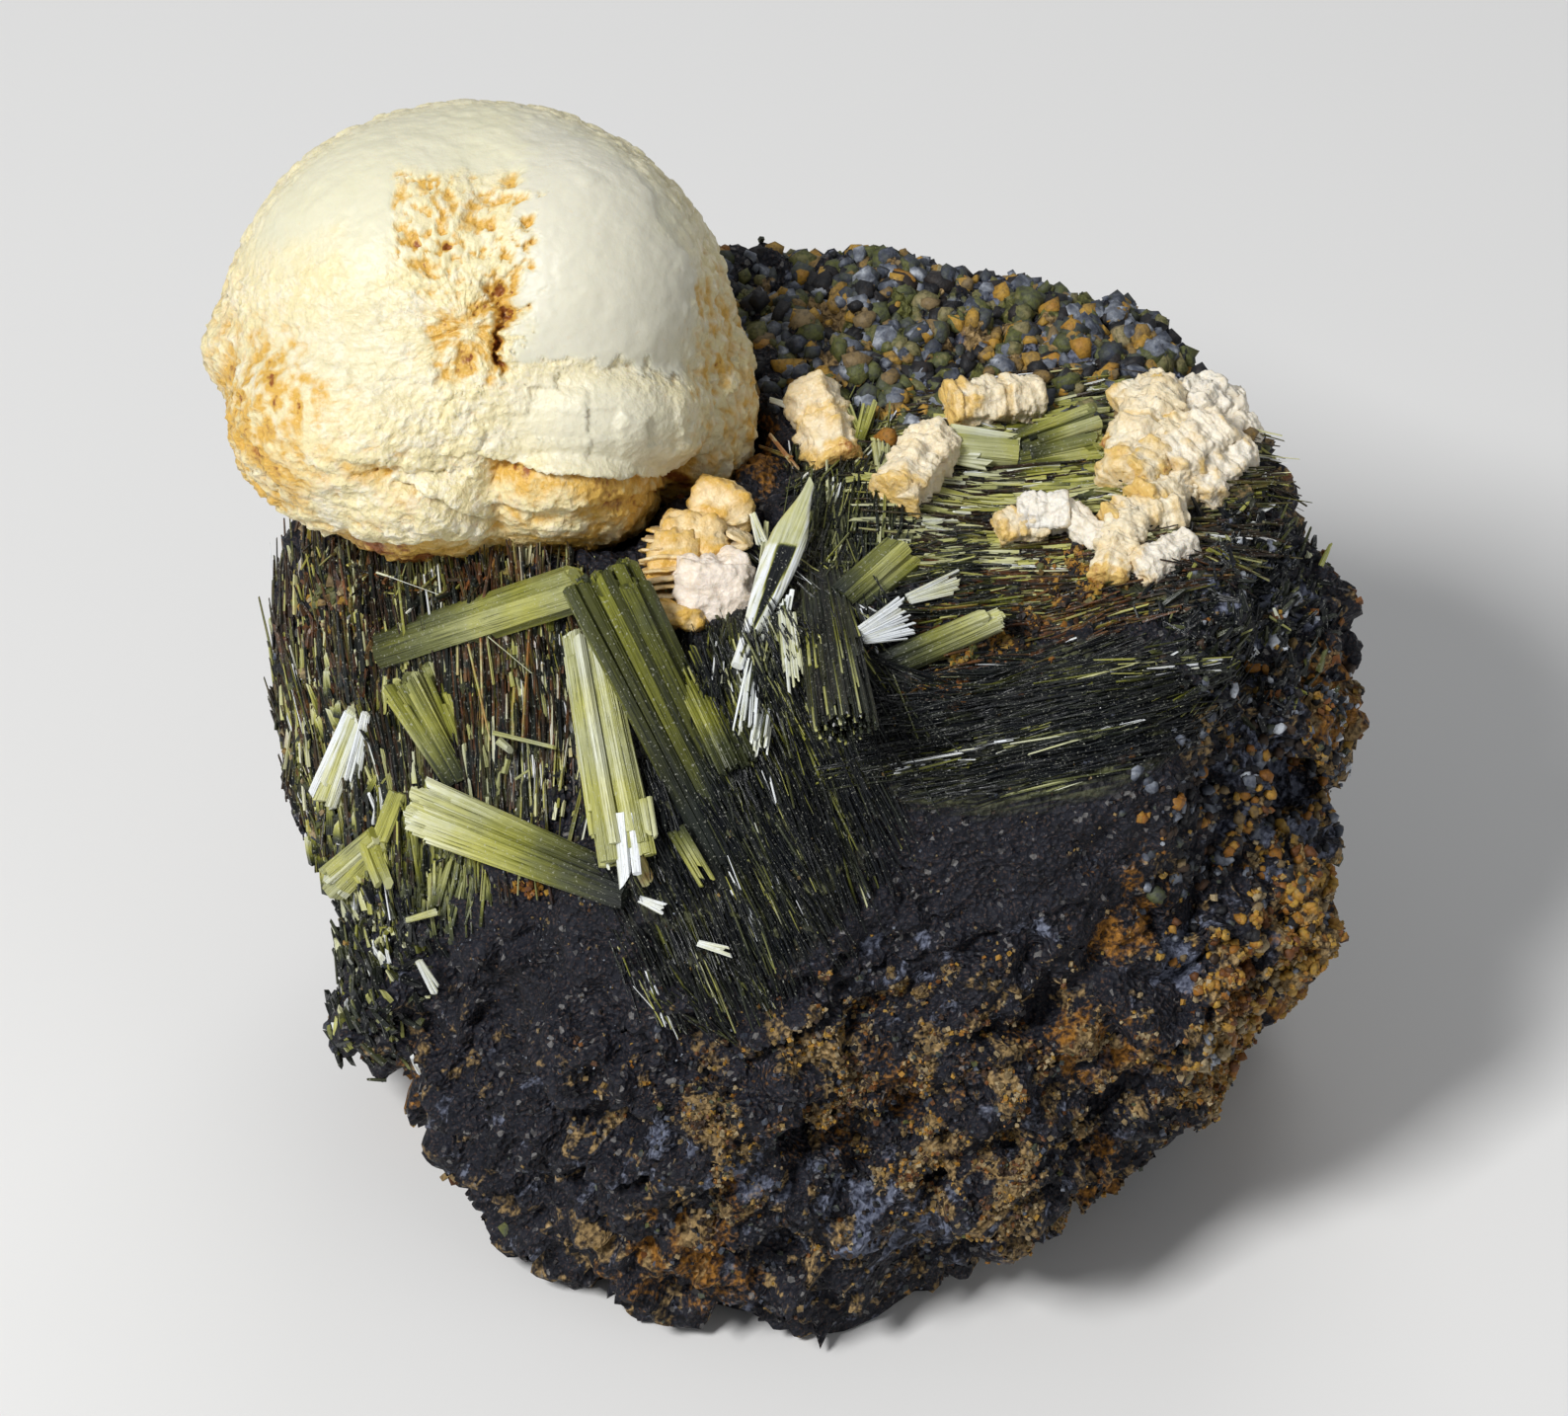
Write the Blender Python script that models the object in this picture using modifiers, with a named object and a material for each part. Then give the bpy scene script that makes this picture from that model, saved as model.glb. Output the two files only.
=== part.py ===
"""Prehnite on matrix: a lobed ball of prehnite on a block of dark fibrous rock, about 47 mm wide.

The specimen is laid out in its display view, which looks down on it from the front. A place is
given as (across, up, toward) in millimetres from the middle of that view: across runs to the
right, up runs up the picture and toward runs to the viewer. The finished object stands on the
flat broken face under the rock, with +Z up and the front of the specimen towards -Y.
"""

import math
import random

import bmesh
import bpy
from mathutils import Matrix, Vector, noise
from mathutils.bvhtree import BVHTree

MM = 0.001
GAP = 0.3  # clearance between neighbouring pieces, in millimetres

# The display view
VIEW_RISE = math.radians(40.0)
VIEW_DISTANCE = 260.0
VIEW_MIDDLE = Vector((-0.325, -0.935, 19.2))
ACROSS = Vector((1.0, 0.0, 0.0))
UP = Vector((0.0, math.sin(VIEW_RISE), math.cos(VIEW_RISE)))
TOWARD = Vector((0.0, -math.cos(VIEW_RISE), math.sin(VIEW_RISE)))
TO_OBJECT = Matrix((ACROSS, UP, TOWARD)).transposed()

# The matrix rock
ROCK_MIDDLE = Vector((1.5, -3.5, -1.5))
ROCK_FRONT_DEPTH = 17.5
ROCK_BACK_DEPTH = 20.5
ROCK_BOXINESS = 2.5  # power of the rounded box section, 2 would be an ellipse
ROCK_FACETS = 3300
FACE_SHARPNESS = 34.0  # power of the blend between fracture faces
# The rim of the rock as the display view shows it, (across, up)
ROCK_RIM = (
    (-20.0, 6.0), (-19.6, -1.5), (-18.7, -7.5), (-18.0, -13.8), (-15.5, -15.2), (-11.2, -19.4),
    (-10.4, -21.0), (-6.0, -22.9), (0.0, -24.7), (3.5, -25.0), (8.8, -23.3), (11.4, -21.1),
    (15.6, -18.9), (17.2, -16.6), (21.2, -13.1), (22.4, -10.9), (21.5, -8.5), (22.2, -5.8),
    (21.4, -3.4), (22.9, -1.0), (22.8, 4.4), (21.9, 7.6), (19.8, 10.0), (17.5, 13.6), (15.1, 15.8),
    (13.0, 16.2), (6.5, 17.1), (0.0, 18.2), (-3.5, 18.0), (-9.0, 14.8), (-15.5, 10.6),
)
# Fracture faces: a place on each one, then the bearing and rise that it faces, in degrees.
# Bearing 0 is towards the front of the object, and 90 towards its right.
FRACTURE_FACES = (
    ((6.0, 10.0, 4.6), 8, 84),  # the shelf, nearly level
    ((6.0, -4.0, 13.2), 4, 22),  # the front
    ((-12.5, 2.0, 7.6), -36, 24),  # the left shoulder under the ball
    ((-14.5, -6.0, 6.0), -62, 12),
    ((20.8, 4.2, 5.0), 57, 24),  # the right shoulder
    ((16.5, -12.0, 7.5), 44, 2),
    ((1.0, -15.0, 10.6), -4, 0),  # the lower front
    ((-9.0, -15.5, 7.0), -36, -6),
    ((8.0, 10.2, -15.5), 168, 16),  # the back
    ((-13.0, 5.0, -13.5), -140, 4),
    ((17.0, 2.0, -12.0), 124, -4),
)
# Lumps, ledges and notches on the front: (across, up), height and reach; a notch has a minus height
ROCK_LUMPS = (
    ((-7.5, -9.0), 1.7, 5.2),  # the smooth black boss left of the middle
    ((6.5, -3.0), 0.9, 5.0),
    ((13.0, -1.5), 1.2, 4.0),
    ((1.0, 1.6), 1.3, 2.6),
    ((7.5, 1.2), -1.5, 2.0),  # the shadowed slot under the shelf edge
    ((4.5, 1.4), -1.2, 1.8),
    ((10.5, 2.0), -0.9, 1.8),
    ((16.5, 3.5), 1.2, 2.6),
    ((20.5, -3.5), -2.6, 1.9),  # the notch in the right edge
    ((21.5, -1.2), 1.0, 2.2),
    ((21.0, -10.5), 1.8, 2.6),  # the rusty chunk low on the right
    ((18.0, -13.0), 1.2, 2.4),
    ((16.0, -8.5), -1.6, 2.2),
    ((-14.5, -15.0), -1.2, 2.4),
    ((-10.0, -16.5), 1.0, 2.4),
    ((-5.0, -16.0), -1.3, 1.9),
    ((-3.0, -19.0), 1.2, 2.6),
    ((4.5, -19.5), -1.5, 2.4),
    ((8.5, -15.0), 1.4, 2.8),
    ((10.5, -19.5), 1.1, 2.2),
    ((3.0, -12.5), -0.9, 2.0),
    ((12.5, -9.0), 1.0, 2.2),
    ((-16.5, -9.5), 1.1, 2.2),
    ((-9.5, 0.5), -1.7, 3.4),  # the hollow below the ball
    ((-17.0, 3.5), 0.9, 2.0),
    ((5.0, 14.5), 0.8, 2.4),
    ((12.0, 12.5), -0.7, 2.6),
)
ROUGH_OCTAVES = ((0.16, 1.1), (0.34, 0.62), (0.75, 0.32))  # waves per millimetre, height

# The prehnite ball
BALL_MIDDLE = (-12.35, 14.85, 5.5)  # (across, up) as seen, and toward
BALL_FACETS = 1750
# Lobes of the ball: middle from the ball's middle, then radii, each (across, up, toward)
BALL_LOBES = (
    ((0.0, 0.1, 0.0), (10.3, 9.5, 9.8)),
    ((3.2, 1.6, 2.8), (6.1, 6.5, 7.2)),  # the smooth right lobe
    ((-2.2, 1.8, 1.4), (7.2, 7.0, 8.5)),
    ((-3.6, -3.0, 2.2), (6.2, 5.1, 7.2)),  # the sugary left lobe
    ((4.2, -3.0, 3.0), (5.2, 3.2, 6.4)),  # the lip over the lower layers
    ((3.5, -5.9, 1.6), (4.4, 2.9, 7.2)),
    ((-1.9, -6.2, 1.0), (4.9, 2.8, 7.2)),
    ((8.3, -2.4, -1.0), (2.8, 4.6, 4.6)),  # the granular band down the right side
    ((-8.4, -0.3, 0.6), (2.5, 2.6, 3.2)),
)
BALL_ROUGHNESS = 0.16
BALL_KNOBS = 46  # small lobes that stand out of the sides and the underside
KNOB_RADII = (1.1, 2.3)
CREVICE = ((0.95, -1.0, 9.2), (0.55, 1.9, 2.2), -8)  # place from the ball's middle, radii, tilt
CREVICE_PITS = (((-1.6, 1.9, 9.6), 0.9), ((0.2, 3.0, 9.4), 0.8), ((-0.9, -1.8, 9.6), 0.8))

# Prehnite barrels on the shelf: (across, up) of the foot and of the head as seen, then the
# height of the foot and of the head above the rock, and the radius
BARRELS = {
    "prehnite_barrel_left": (((2.3, 9.7), (1.0, 12.9), 0.5, 1.1, 1.05),),
    "prehnite_barrel_middle": (((4.4, 8.5), (6.3, 10.9), 0.9, 1.0, 1.05),),
    "prehnite_barrel_back": (((6.6, 12.2), (10.3, 12.6), 0.9, 0.9, 0.9),),
    "prehnite_arch": (
        ((8.6, 7.2), (10.5, 7.6), 0.8, 1.2, 0.75),
        ((10.0, 7.6), (12.1, 7.5), 1.3, 1.2, 0.85),
    ),
    "prehnite_cluster": (
        ((13.1, 7.2), (16.0, 8.0), 0.9, 1.0, 0.95),
        ((13.1, 5.0), (14.0, 7.6), 0.6, 1.2, 0.85),
        ((14.2, 5.4), (16.4, 6.5), 0.7, 0.9, 0.8),
        ((13.6, 9.0), (15.4, 12.6), 0.9, 0.9, 1.15),
        ((14.8, 12.4), (18.4, 12.0), 0.8, 0.7, 1.1),
        ((15.4, 9.6), (17.6, 11.2), 1.3, 1.5, 1.25),
        ((16.6, 8.6), (18.6, 10.6), 0.6, 0.9, 1.0),
        ((13.4, 12.0), (15.6, 12.9), 0.6, 0.9, 0.9),
        ((14.4, 8.2), (16.6, 9.6), 0.7, 0.8, 0.9),
    ),
}
BARREL_PROFILE = ((0.80, 0.0), (1.0, 0.16), (0.93, 0.36), (1.05, 0.55), (0.95, 0.78), (0.72, 1.0))
BARREL_SIDES = 8

# The rosette of plates under the ball: place, size (across, up, toward) and tilts in degrees
ROSETTE_PLATES = (
    ((-2.5, 4.8, 0.6), (3.0, 2.6, 2.4), (8, 10, -6)),
    ((-3.5, 5.8, 0.3), (2.2, 1.3, 2.6), (6, 12, 14)),
    ((-3.8, 6.5, 0.6), (2.9, 1.2, 2.4), (-6, 4, 8)),
    ((-3.0, 7.1, 1.0), (3.3, 1.6, 2.5), (14, -6, -12)),
    ((-2.4, 8.1, 0.9), (2.6, 1.5, 2.3), (-10, 8, 24)),
    ((-3.3, 8.8, 0.5), (2.2, 1.4, 2.2), (4, 16, -30)),
    ((-2.4, 9.5, 0.2), (1.6, 1.4, 1.9), (-12, 22, 40)),
)

# Sprays of prisms: (across, up) of root and tip as seen, height of each above the rock, width
# and thickness of the bundle, and the number of prisms
SPRAYS = {
    "green_spray_centre": ((-1.9, -5.8), (-7.0, 4.4), 0.9, 2.3, 3.2, 2.2, 5),
    "yellow_spray": ((-6.4, -6.2), (-8.1, 3.0), 1.2, 1.1, 2.4, 1.5, 5),
    "green_spray_cross": ((-15.6, 2.9), (-8.5, 4.9), 1.2, 2.6, 1.7, 1.4, 3),
    "green_spray_low": ((-5.2, -8.4), (-14.4, -4.6), 0.7, 2.4, 2.6, 1.5, 5),
    "green_fan_left": ((-13.2, -2.4), (-15.2, 1.4), 0.6, 1.7, 2.4, 1.2, 4),
    "green_fan_edge": ((-18.4, -6.2), (-16.0, -4.6), 0.8, 1.2, 2.0, 1.1, 3),
    "pale_fan_edge": ((-17.2, -1.0), (-18.8, -3.9), 0.7, 1.3, 2.0, 1.0, 3),
    "pale_blade": ((-1.9, -1.6), (1.1, 9.0), 1.2, 3.4, 1.5, 0.9, 3),
    "dark_bundle": ((2.6, -0.6), (1.9, 4.9), 0.8, 1.6, 2.2, 1.5, 4),
    "green_blade_ledge": ((4.6, 1.9), (8.8, 3.7), 1.0, 1.9, 1.5, 1.0, 3),
    "green_spray_shelf": ((9.7, 10.2), (12.9, 10.9), 0.7, 1.0, 2.8, 0.9, 4),
    "green_tablet_shelf": ((9.0, 10.4), (6.9, 11.0), 0.7, 1.4, 1.5, 0.9, 2),
    "green_tablet_ledge": ((2.6, 4.6), (4.9, 6.2), 0.7, 1.1, 1.9, 0.9, 3),
}

# Finishes: colour, roughness
DARK_ROCK = ((0.035, 0.035, 0.042), 0.6)
CREAM_PREHNITE = ((0.82, 0.74, 0.52), 0.4)
GOLD_PREHNITE = ((0.80, 0.58, 0.26), 0.45)
OLIVE_CRYSTAL = ((0.30, 0.34, 0.09), 0.3)
YELLOW_CRYSTAL = ((0.62, 0.64, 0.22), 0.3)
SILVER_CRYSTAL = ((0.62, 0.66, 0.70), 0.25)
BLACK_CRYSTAL = ((0.06, 0.065, 0.07), 0.3)


def to_object(place):
    """A place in the display view, in millimetres, as a point of the object in metres."""
    return (VIEW_MIDDLE + TO_OBJECT @ Vector(place)) * MM


def sighted(across, up, toward):
    """The place at this depth that the viewer sees at (across, up)."""
    shrink = 1.0 - toward / VIEW_DISTANCE
    return Vector((across * shrink, up * shrink, toward))


def from_object(point):
    """A point of the object in metres as a place in the display view."""
    return TO_OBJECT.transposed() @ (Vector(point) / MM - VIEW_MIDDLE)


def facing(bearing_deg, rise_deg):
    """The direction with this bearing and rise, in the display view's axes."""
    bearing, rise = math.radians(bearing_deg), math.radians(rise_deg)
    level = math.cos(rise)
    direction = Vector((math.sin(bearing) * level, -math.cos(bearing) * level, math.sin(rise)))
    return TO_OBJECT.transposed() @ direction


def clear_scene():
    for obj in list(bpy.data.objects):
        bpy.data.objects.remove(obj)


def new_collection(name):
    collection = bpy.data.collections.new(name)
    bpy.context.scene.collection.children.link(collection)
    return collection


def finish_of(name, colour_and_roughness):
    """A plain Principled material of this colour and roughness."""
    colour, roughness = colour_and_roughness
    material = bpy.data.materials.get(name) or bpy.data.materials.new(name)
    material.use_nodes = True
    shader = material.node_tree.nodes["Principled BSDF"]
    shader.inputs["Base Color"].default_value = (*colour, 1.0)
    shader.inputs["Roughness"].default_value = roughness
    shader.inputs["Metallic"].default_value = 0.0
    return material


def link_only(obj, collection):
    """Puts the object in this collection and in no other."""
    for other in list(obj.users_collection):
        other.objects.unlink(obj)
    collection.objects.link(obj)
    return obj


def helper(obj, helpers):
    """Makes the object a cutter or a guide, which isn't part of the specimen."""
    obj.hide_render = True
    obj.display_type = "WIRE"
    return link_only(obj, helpers)


def largest_piece(mesh):
    """Deletes every loose part of the mesh but the largest."""
    bm = bmesh.new()
    bm.from_mesh(mesh)
    waiting = set(bm.verts)
    parts = []
    while waiting:
        front = [waiting.pop()]
        part = []
        while front:
            vert = front.pop()
            part.append(vert)
            for edge in vert.link_edges:
                other = edge.other_vert(vert)
                if other in waiting:
                    waiting.remove(other)
                    front.append(other)
        parts.append(part)
    parts.sort(key=len)
    for part in parts[:-1]:
        bmesh.ops.delete(bm, geom=part, context="VERTS")
    bm.to_mesh(mesh)
    bm.free()


def boolean(obj, operation, other):
    """A Boolean of the object with another object, or with all of a collection."""
    modifier = obj.modifiers.new(operation.lower(), "BOOLEAN")
    modifier.operation = operation
    modifier.solver = "EXACT"
    if isinstance(other, bpy.types.Collection):
        modifier.operand_type = "COLLECTION"
        modifier.collection = other
    else:
        modifier.object = other


def settle(obj):
    """Applies the object's modifiers, keeping its largest piece, and returns the object."""
    bpy.context.view_layer.update()
    graph = bpy.context.evaluated_depsgraph_get()
    mesh = bpy.data.meshes.new_from_object(obj.evaluated_get(graph))
    obj.modifiers.clear()
    obj.data = mesh
    mesh.transform(obj.matrix_world)
    obj.matrix_world = Matrix.Identity(4)
    largest_piece(mesh)
    return obj


def fused(name, pieces, trims, finish, specimen, helpers):
    """One solid made of the pieces that grew together, kept clear of its neighbours."""
    first, *others = pieces
    if others:
        group = bpy.data.collections.new(name + "_pieces")
        helpers.children.link(group)
        for other in others:
            helper(other, group)
        boolean(first, "UNION", group)
        settle(first)
    for trim in trims:
        boolean(first, "DIFFERENCE", trim)
    settle(first)
    for other in others:
        bpy.data.objects.remove(other)
    first.name = name
    first.data.name = name
    first.data.materials.clear()
    first.data.materials.append(finish)
    return link_only(first, specimen)


def rim_radii():
    """The rim's (angle, radius) round the rock's middle, sorted by angle."""
    found = []
    for across, up in ROCK_RIM:
        out = Vector((across, up)) - ROCK_MIDDLE.xy
        found.append((math.atan2(out.y, out.x), out.length))
    return sorted(found)


def rim_radius(rim, angle):
    """The rim's radius at this angle, eased from one rim point to the next."""
    turn = 2 * math.pi
    for (start, near), (end, far) in zip(rim, rim[1:] + [(rim[0][0] + turn, rim[0][1])]):
        shifted = angle + turn if angle < rim[0][0] else angle
        if start <= shifted <= end:
            share = (shifted - start) / (end - start)
            return near + (far - near) * share
    return rim[0][1]


def body_reach(rim, direction):
    """How far the rounded block reaches from its middle in this direction."""
    level = math.hypot(direction.x, direction.y)
    depth = ROCK_FRONT_DEPTH if direction.z > 0 else ROCK_BACK_DEPTH
    rim_here = rim_radius(rim, math.atan2(direction.y, direction.x))
    section = (level / rim_here) ** ROCK_BOXINESS + (abs(direction.z) / depth) ** ROCK_BOXINESS
    return section ** (-1.0 / ROCK_BOXINESS)


def front_direction(rim, across, up):
    """The direction from the rock's middle to its front at (across, up)."""
    out = Vector((across, up)) - ROCK_MIDDLE.xy
    share = min(out.length / rim_radius(rim, math.atan2(out.y, out.x)), 0.98)
    toward = ROCK_FRONT_DEPTH * (1 - share**ROCK_BOXINESS) ** (1 / ROCK_BOXINESS)
    return Vector((out.x, out.y, min(toward, ROCK_FRONT_DEPTH * 0.85))).normalized()


class Rock:
    """The shape of the matrix: a rounded block, cut by fracture faces, with lumps and notches."""

    def __init__(self):
        self.rim = rim_radii()
        self.faces = []
        for place, bearing, rise in FRACTURE_FACES:
            normal = facing(bearing, rise)
            self.faces.append((normal, normal.dot(Vector(place) - ROCK_MIDDLE)))
        self.lumps = []
        for (across, up), height, reach in ROCK_LUMPS:
            direction = front_direction(self.rim, across, up)
            self.lumps.append((direction, height, reach))

    def reach(self, direction):
        """Distance from the rock's middle to its surface in this direction."""
        nearness = body_reach(self.rim, direction) ** -FACE_SHARPNESS
        for normal, distance in self.faces:
            along = normal.dot(direction)
            if along > 0.05:
                nearness += (distance / along) ** -FACE_SHARPNESS
        plain = nearness ** (-1.0 / FACE_SHARPNESS)
        for lump, height, size in self.lumps:
            off = (direction - lump).length * plain / size
            plain += height * math.exp(-off * off)
        place = direction * plain
        for waves, height in ROUGH_OCTAVES:
            wave = noise.noise(place * waves + Vector((7.1, 3.3, 1.9)))
            plain += height * (1.0 - 2.2 * abs(wave)) * 0.6
        return plain

    def solid(self, name, extra, helpers):
        """The rock's mesh, grown outwards by extra millimetres, with its resting face cut flat."""
        bpy.ops.mesh.primitive_ico_sphere_add(subdivisions=6, radius=1.0)
        obj = bpy.context.active_object
        obj.name = name
        for vertex in obj.data.vertices:
            direction = vertex.co.normalized()
            place = ROCK_MIDDLE + direction * (self.reach(direction) + extra)
            vertex.co = to_object(place)
        thin = obj.modifiers.new("thin", "DECIMATE")
        thin.ratio = ROCK_FACETS / len(obj.data.polygons)
        bpy.ops.mesh.primitive_cube_add(size=1.0)
        floor = helper(bpy.context.active_object, helpers)
        floor.name = "floor_cut"
        floor.scale = (0.2, 0.2, 0.05)
        floor.location = (0.0, 0.0, -0.025 - extra * MM)
        boolean(obj, "DIFFERENCE", floor)
        settle(obj)
        bpy.data.objects.remove(floor)
        return obj


def lobe_reach(direction, middle, radii):
    """Where a ray from the ball's middle leaves a lobe, or 0 where it misses it."""
    scaled = Vector(d / r for d, r in zip(direction, radii))
    offset = Vector(m / r for m, r in zip(middle, radii))
    a, b, c = scaled.dot(scaled), scaled.dot(offset), offset.dot(offset) - 1.0
    inside = b * b - a * c
    return (b + math.sqrt(inside)) / a if inside > 0 else 0.0


def ball_knobs():
    """Small lobes strewn over the ball, but for its smooth upper front."""
    draw = random.Random(11)
    knobs = []
    while len(knobs) < BALL_KNOBS:
        out = Vector(draw.gauss(0, 1) for _ in range(3)).normalized()
        if out.y > 0.1 and out.z > 0.35:
            continue
        radius = draw.uniform(*KNOB_RADII)
        reach = max(lobe_reach(out, *lobe) for lobe in BALL_LOBES)
        knobs.append((out * (reach + 0.32 - radius), (radius, radius * 0.8, radius)))
    return knobs


def ball_solid(name, extra):
    """The lobed ball, grown outwards by extra millimetres."""
    bpy.ops.mesh.primitive_ico_sphere_add(subdivisions=5, radius=1.0)
    obj = bpy.context.active_object
    obj.name = name
    middle = sighted(*BALL_MIDDLE)
    lobes = [*BALL_LOBES, *ball_knobs()]
    for vertex in obj.data.vertices:
        direction = vertex.co.normalized()
        reach = max(lobe_reach(direction, *lobe) for lobe in lobes)
        wave = noise.noise(direction * 5.2) + 0.5 * noise.noise(direction * 11.0)
        reach += BALL_ROUGHNESS * wave + extra
        vertex.co = to_object(middle + direction * reach)
    thin = obj.modifiers.new("thin", "DECIMATE")
    thin.ratio = BALL_FACETS / len(obj.data.polygons)
    return settle(obj)


def pit_cutter(place, radii, tilt_deg, helpers):
    """A stretched ball that cuts a pit or a crevice into the prehnite ball."""
    bpy.ops.mesh.primitive_ico_sphere_add(subdivisions=2, radius=1.0)
    cutter = helper(bpy.context.active_object, helpers)
    cutter.name = "pit_cut"
    turn = TO_OBJECT.to_4x4() @ Matrix.Rotation(math.radians(tilt_deg), 4, "Z")
    size = Matrix.Diagonal((*(r * MM for r in radii), 1.0))
    spot = to_object(sighted(*BALL_MIDDLE) + Vector(place))
    cutter.data.transform(Matrix.Translation(spot) @ turn @ size)
    return cutter


def prism(start, end, width, thickness, roll_deg, sides):
    """A straight prism between two places, with its wide side turned to the viewer."""
    along = (end - start).normalized()
    side = along.cross(Vector((0, 0, 1))).normalized()
    face = side.cross(along)
    turn = Matrix((side, face, along)).transposed().to_4x4()
    bm = bmesh.new()
    bmesh.ops.create_cone(
        bm, cap_ends=True, segments=sides, radius1=0.5, radius2=0.46, depth=1.0
    )
    size = Matrix.Diagonal((width * MM, thickness * MM, (end - start).length * MM, 1.0))
    roll = Matrix.Rotation(math.radians(roll_deg), 4, "Z")
    middle = Matrix.Translation(to_object((start + end) / 2))
    bm.transform(middle @ TO_OBJECT.to_4x4() @ turn @ roll @ size)
    mesh = bpy.data.meshes.new("prism")
    bm.to_mesh(mesh)
    bm.free()
    obj = bpy.data.objects.new("prism", mesh)
    bpy.context.scene.collection.objects.link(obj)
    return obj


def surface_place(tree, across, up, lift):
    """The place on the rock that the viewer sees at (across, up), raised towards the viewer."""
    eye = to_object((0.0, 0.0, VIEW_DISTANCE))
    aim = to_object((across, up, 0.0))
    point = tree.ray_cast(eye, (aim - eye).normalized())[0]
    hit = from_object(point or tree.find_nearest(aim)[0])
    return hit + (Vector((0.0, 0.0, VIEW_DISTANCE)) - hit).normalized() * lift


def spray_prisms(tree, root, tip, root_lift, tip_lift, width, thickness, count, seed):
    """The prisms of a spray, side by side and of uneven length, overlapping a little."""
    draw = random.Random(seed)
    start = surface_place(tree, *root, root_lift)
    end = surface_place(tree, *tip, tip_lift)
    for share in (0.4, 0.55, 0.7, 0.85, 1.0):
        seen = [r + (t - r) * share for r, t in zip(root, tip)]
        rest = surface_place(tree, *seen, thickness * 0.35)
        sunk = rest.z - (start.z + (end.z - start.z) * share)
        if sunk > 0:
            end = sighted(tip[0], tip[1], end.z + sunk / share)
    along = (end - start).normalized()
    side = along.cross(Vector((0, 0, 1))).normalized()
    face = side.cross(along)
    made = []
    for number in range(count):
        share = (number + 0.5) / count - 0.5
        sideways = side * (share * width)
        depth = face * (thickness * draw.uniform(-0.16, 0.16))
        fan = side * (share * width * 0.25)
        near = start + sideways * 0.8 + depth + along * draw.uniform(0.0, 0.4)
        far = end + sideways + fan + depth - along * draw.uniform(0.0, 1.4)
        wide = width / count * 1.5
        made.append(prism(near, far, wide, thickness * draw.uniform(0.75, 1.0), 30, 6))
    return made


def barrel(tree, foot, head, foot_lift, head_lift, radius):
    """One barrel crystal: a turned profile of stacked plates, lying from its foot to its head."""
    start = surface_place(tree, *foot, foot_lift)
    end = surface_place(tree, *head, head_lift)
    along = (end - start).normalized()
    side = along.cross(Vector((0, 0, 1))).normalized()
    turn = Matrix((side, side.cross(along), along)).transposed().to_4x4()
    length = (end - start).length
    outline = [(0.0, 1.0)] + [(r, z) for r, z in reversed(BARREL_PROFILE)] + [(0.0, 0.0)]
    mesh = bpy.data.meshes.new("barrel")
    points = [(r * radius * MM, 0.0, z * length * MM) for r, z in outline]
    mesh.from_pydata(points, [(i, i + 1) for i in range(len(points) - 1)], [])
    obj = bpy.data.objects.new("barrel", mesh)
    bpy.context.scene.collection.objects.link(obj)
    turned = obj.modifiers.new("turned", "SCREW")
    turned.steps = turned.render_steps = BARREL_SIDES
    turned.use_merge_vertices = True
    turned.merge_threshold = 0.000002
    obj.matrix_world = Matrix.Translation(to_object(start)) @ TO_OBJECT.to_4x4() @ turn
    return settle(obj)


def plate(tree, place, size, tilts):
    """One thick plate of the rosette: a bevelled block standing on the rock."""
    across, up, lift = place
    middle = surface_place(tree, across, up, lift)
    bpy.ops.mesh.primitive_cube_add(size=1.0)
    obj = bpy.context.active_object
    turn = Matrix.Identity(4)
    for axis, degrees in zip("XYZ", tilts):
        turn = turn @ Matrix.Rotation(math.radians(degrees), 4, axis)
    obj.data.transform(Matrix.Diagonal((*(s * MM for s in size), 1.0)))
    rounded = obj.modifiers.new("rounded", "BEVEL")
    rounded.width = 0.22 * MM
    rounded.segments = 1
    obj.matrix_world = Matrix.Translation(to_object(middle)) @ TO_OBJECT.to_4x4() @ turn
    return settle(obj)


def main():
    clear_scene()
    specimen = new_collection("prehnite_on_matrix")
    helpers = new_collection("cutters")

    rock = Rock()
    matrix = rock.solid("matrix", 0.0, helpers)
    tree = BVHTree.FromObject(matrix, bpy.context.evaluated_depsgraph_get())
    grown_rock = helper(rock.solid("grown_rock", GAP, helpers), helpers)

    ball = ball_solid("prehnite_ball", 0.0)
    grown_ball = helper(ball_solid("grown_ball", GAP), helpers)
    pits = [pit_cutter(*CREVICE, helpers)]
    pits += [pit_cutter(place, (r, r, r * 0.8), 0, helpers) for place, r in CREVICE_PITS]
    cream = finish_of("cream_prehnite", CREAM_PREHNITE)
    fused("prehnite_ball", [ball], pits, cream, specimen, helpers)
    dark = finish_of("dark_rock", DARK_ROCK)
    fused("matrix", [matrix], [grown_ball], dark, specimen, helpers)

    gold = finish_of("gold_prehnite", GOLD_PREHNITE)
    plates = [plate(tree, *row) for row in ROSETTE_PLATES]
    rosette = fused(
        "prehnite_rosette", plates, [grown_rock, grown_ball], gold, specimen, helpers
    )
    for name, rows in BARRELS.items():
        barrels = [barrel(tree, *row) for row in rows]
        fused(name, barrels, [grown_rock], cream, specimen, helpers)

    finishes = {
        "yellow_spray": finish_of("yellow_crystal", YELLOW_CRYSTAL),
        "pale_blade": finish_of("silver_crystal", SILVER_CRYSTAL),
        "dark_bundle": finish_of("black_crystal", BLACK_CRYSTAL),
    }
    olive = finish_of("olive_crystal", OLIVE_CRYSTAL)
    for seed, (name, row) in enumerate(SPRAYS.items()):
        prisms = spray_prisms(tree, *row, seed)
        trims = [grown_rock, grown_ball]
        fused(name, prisms, trims, finishes.get(name, olive), specimen, helpers)


main()
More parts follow.
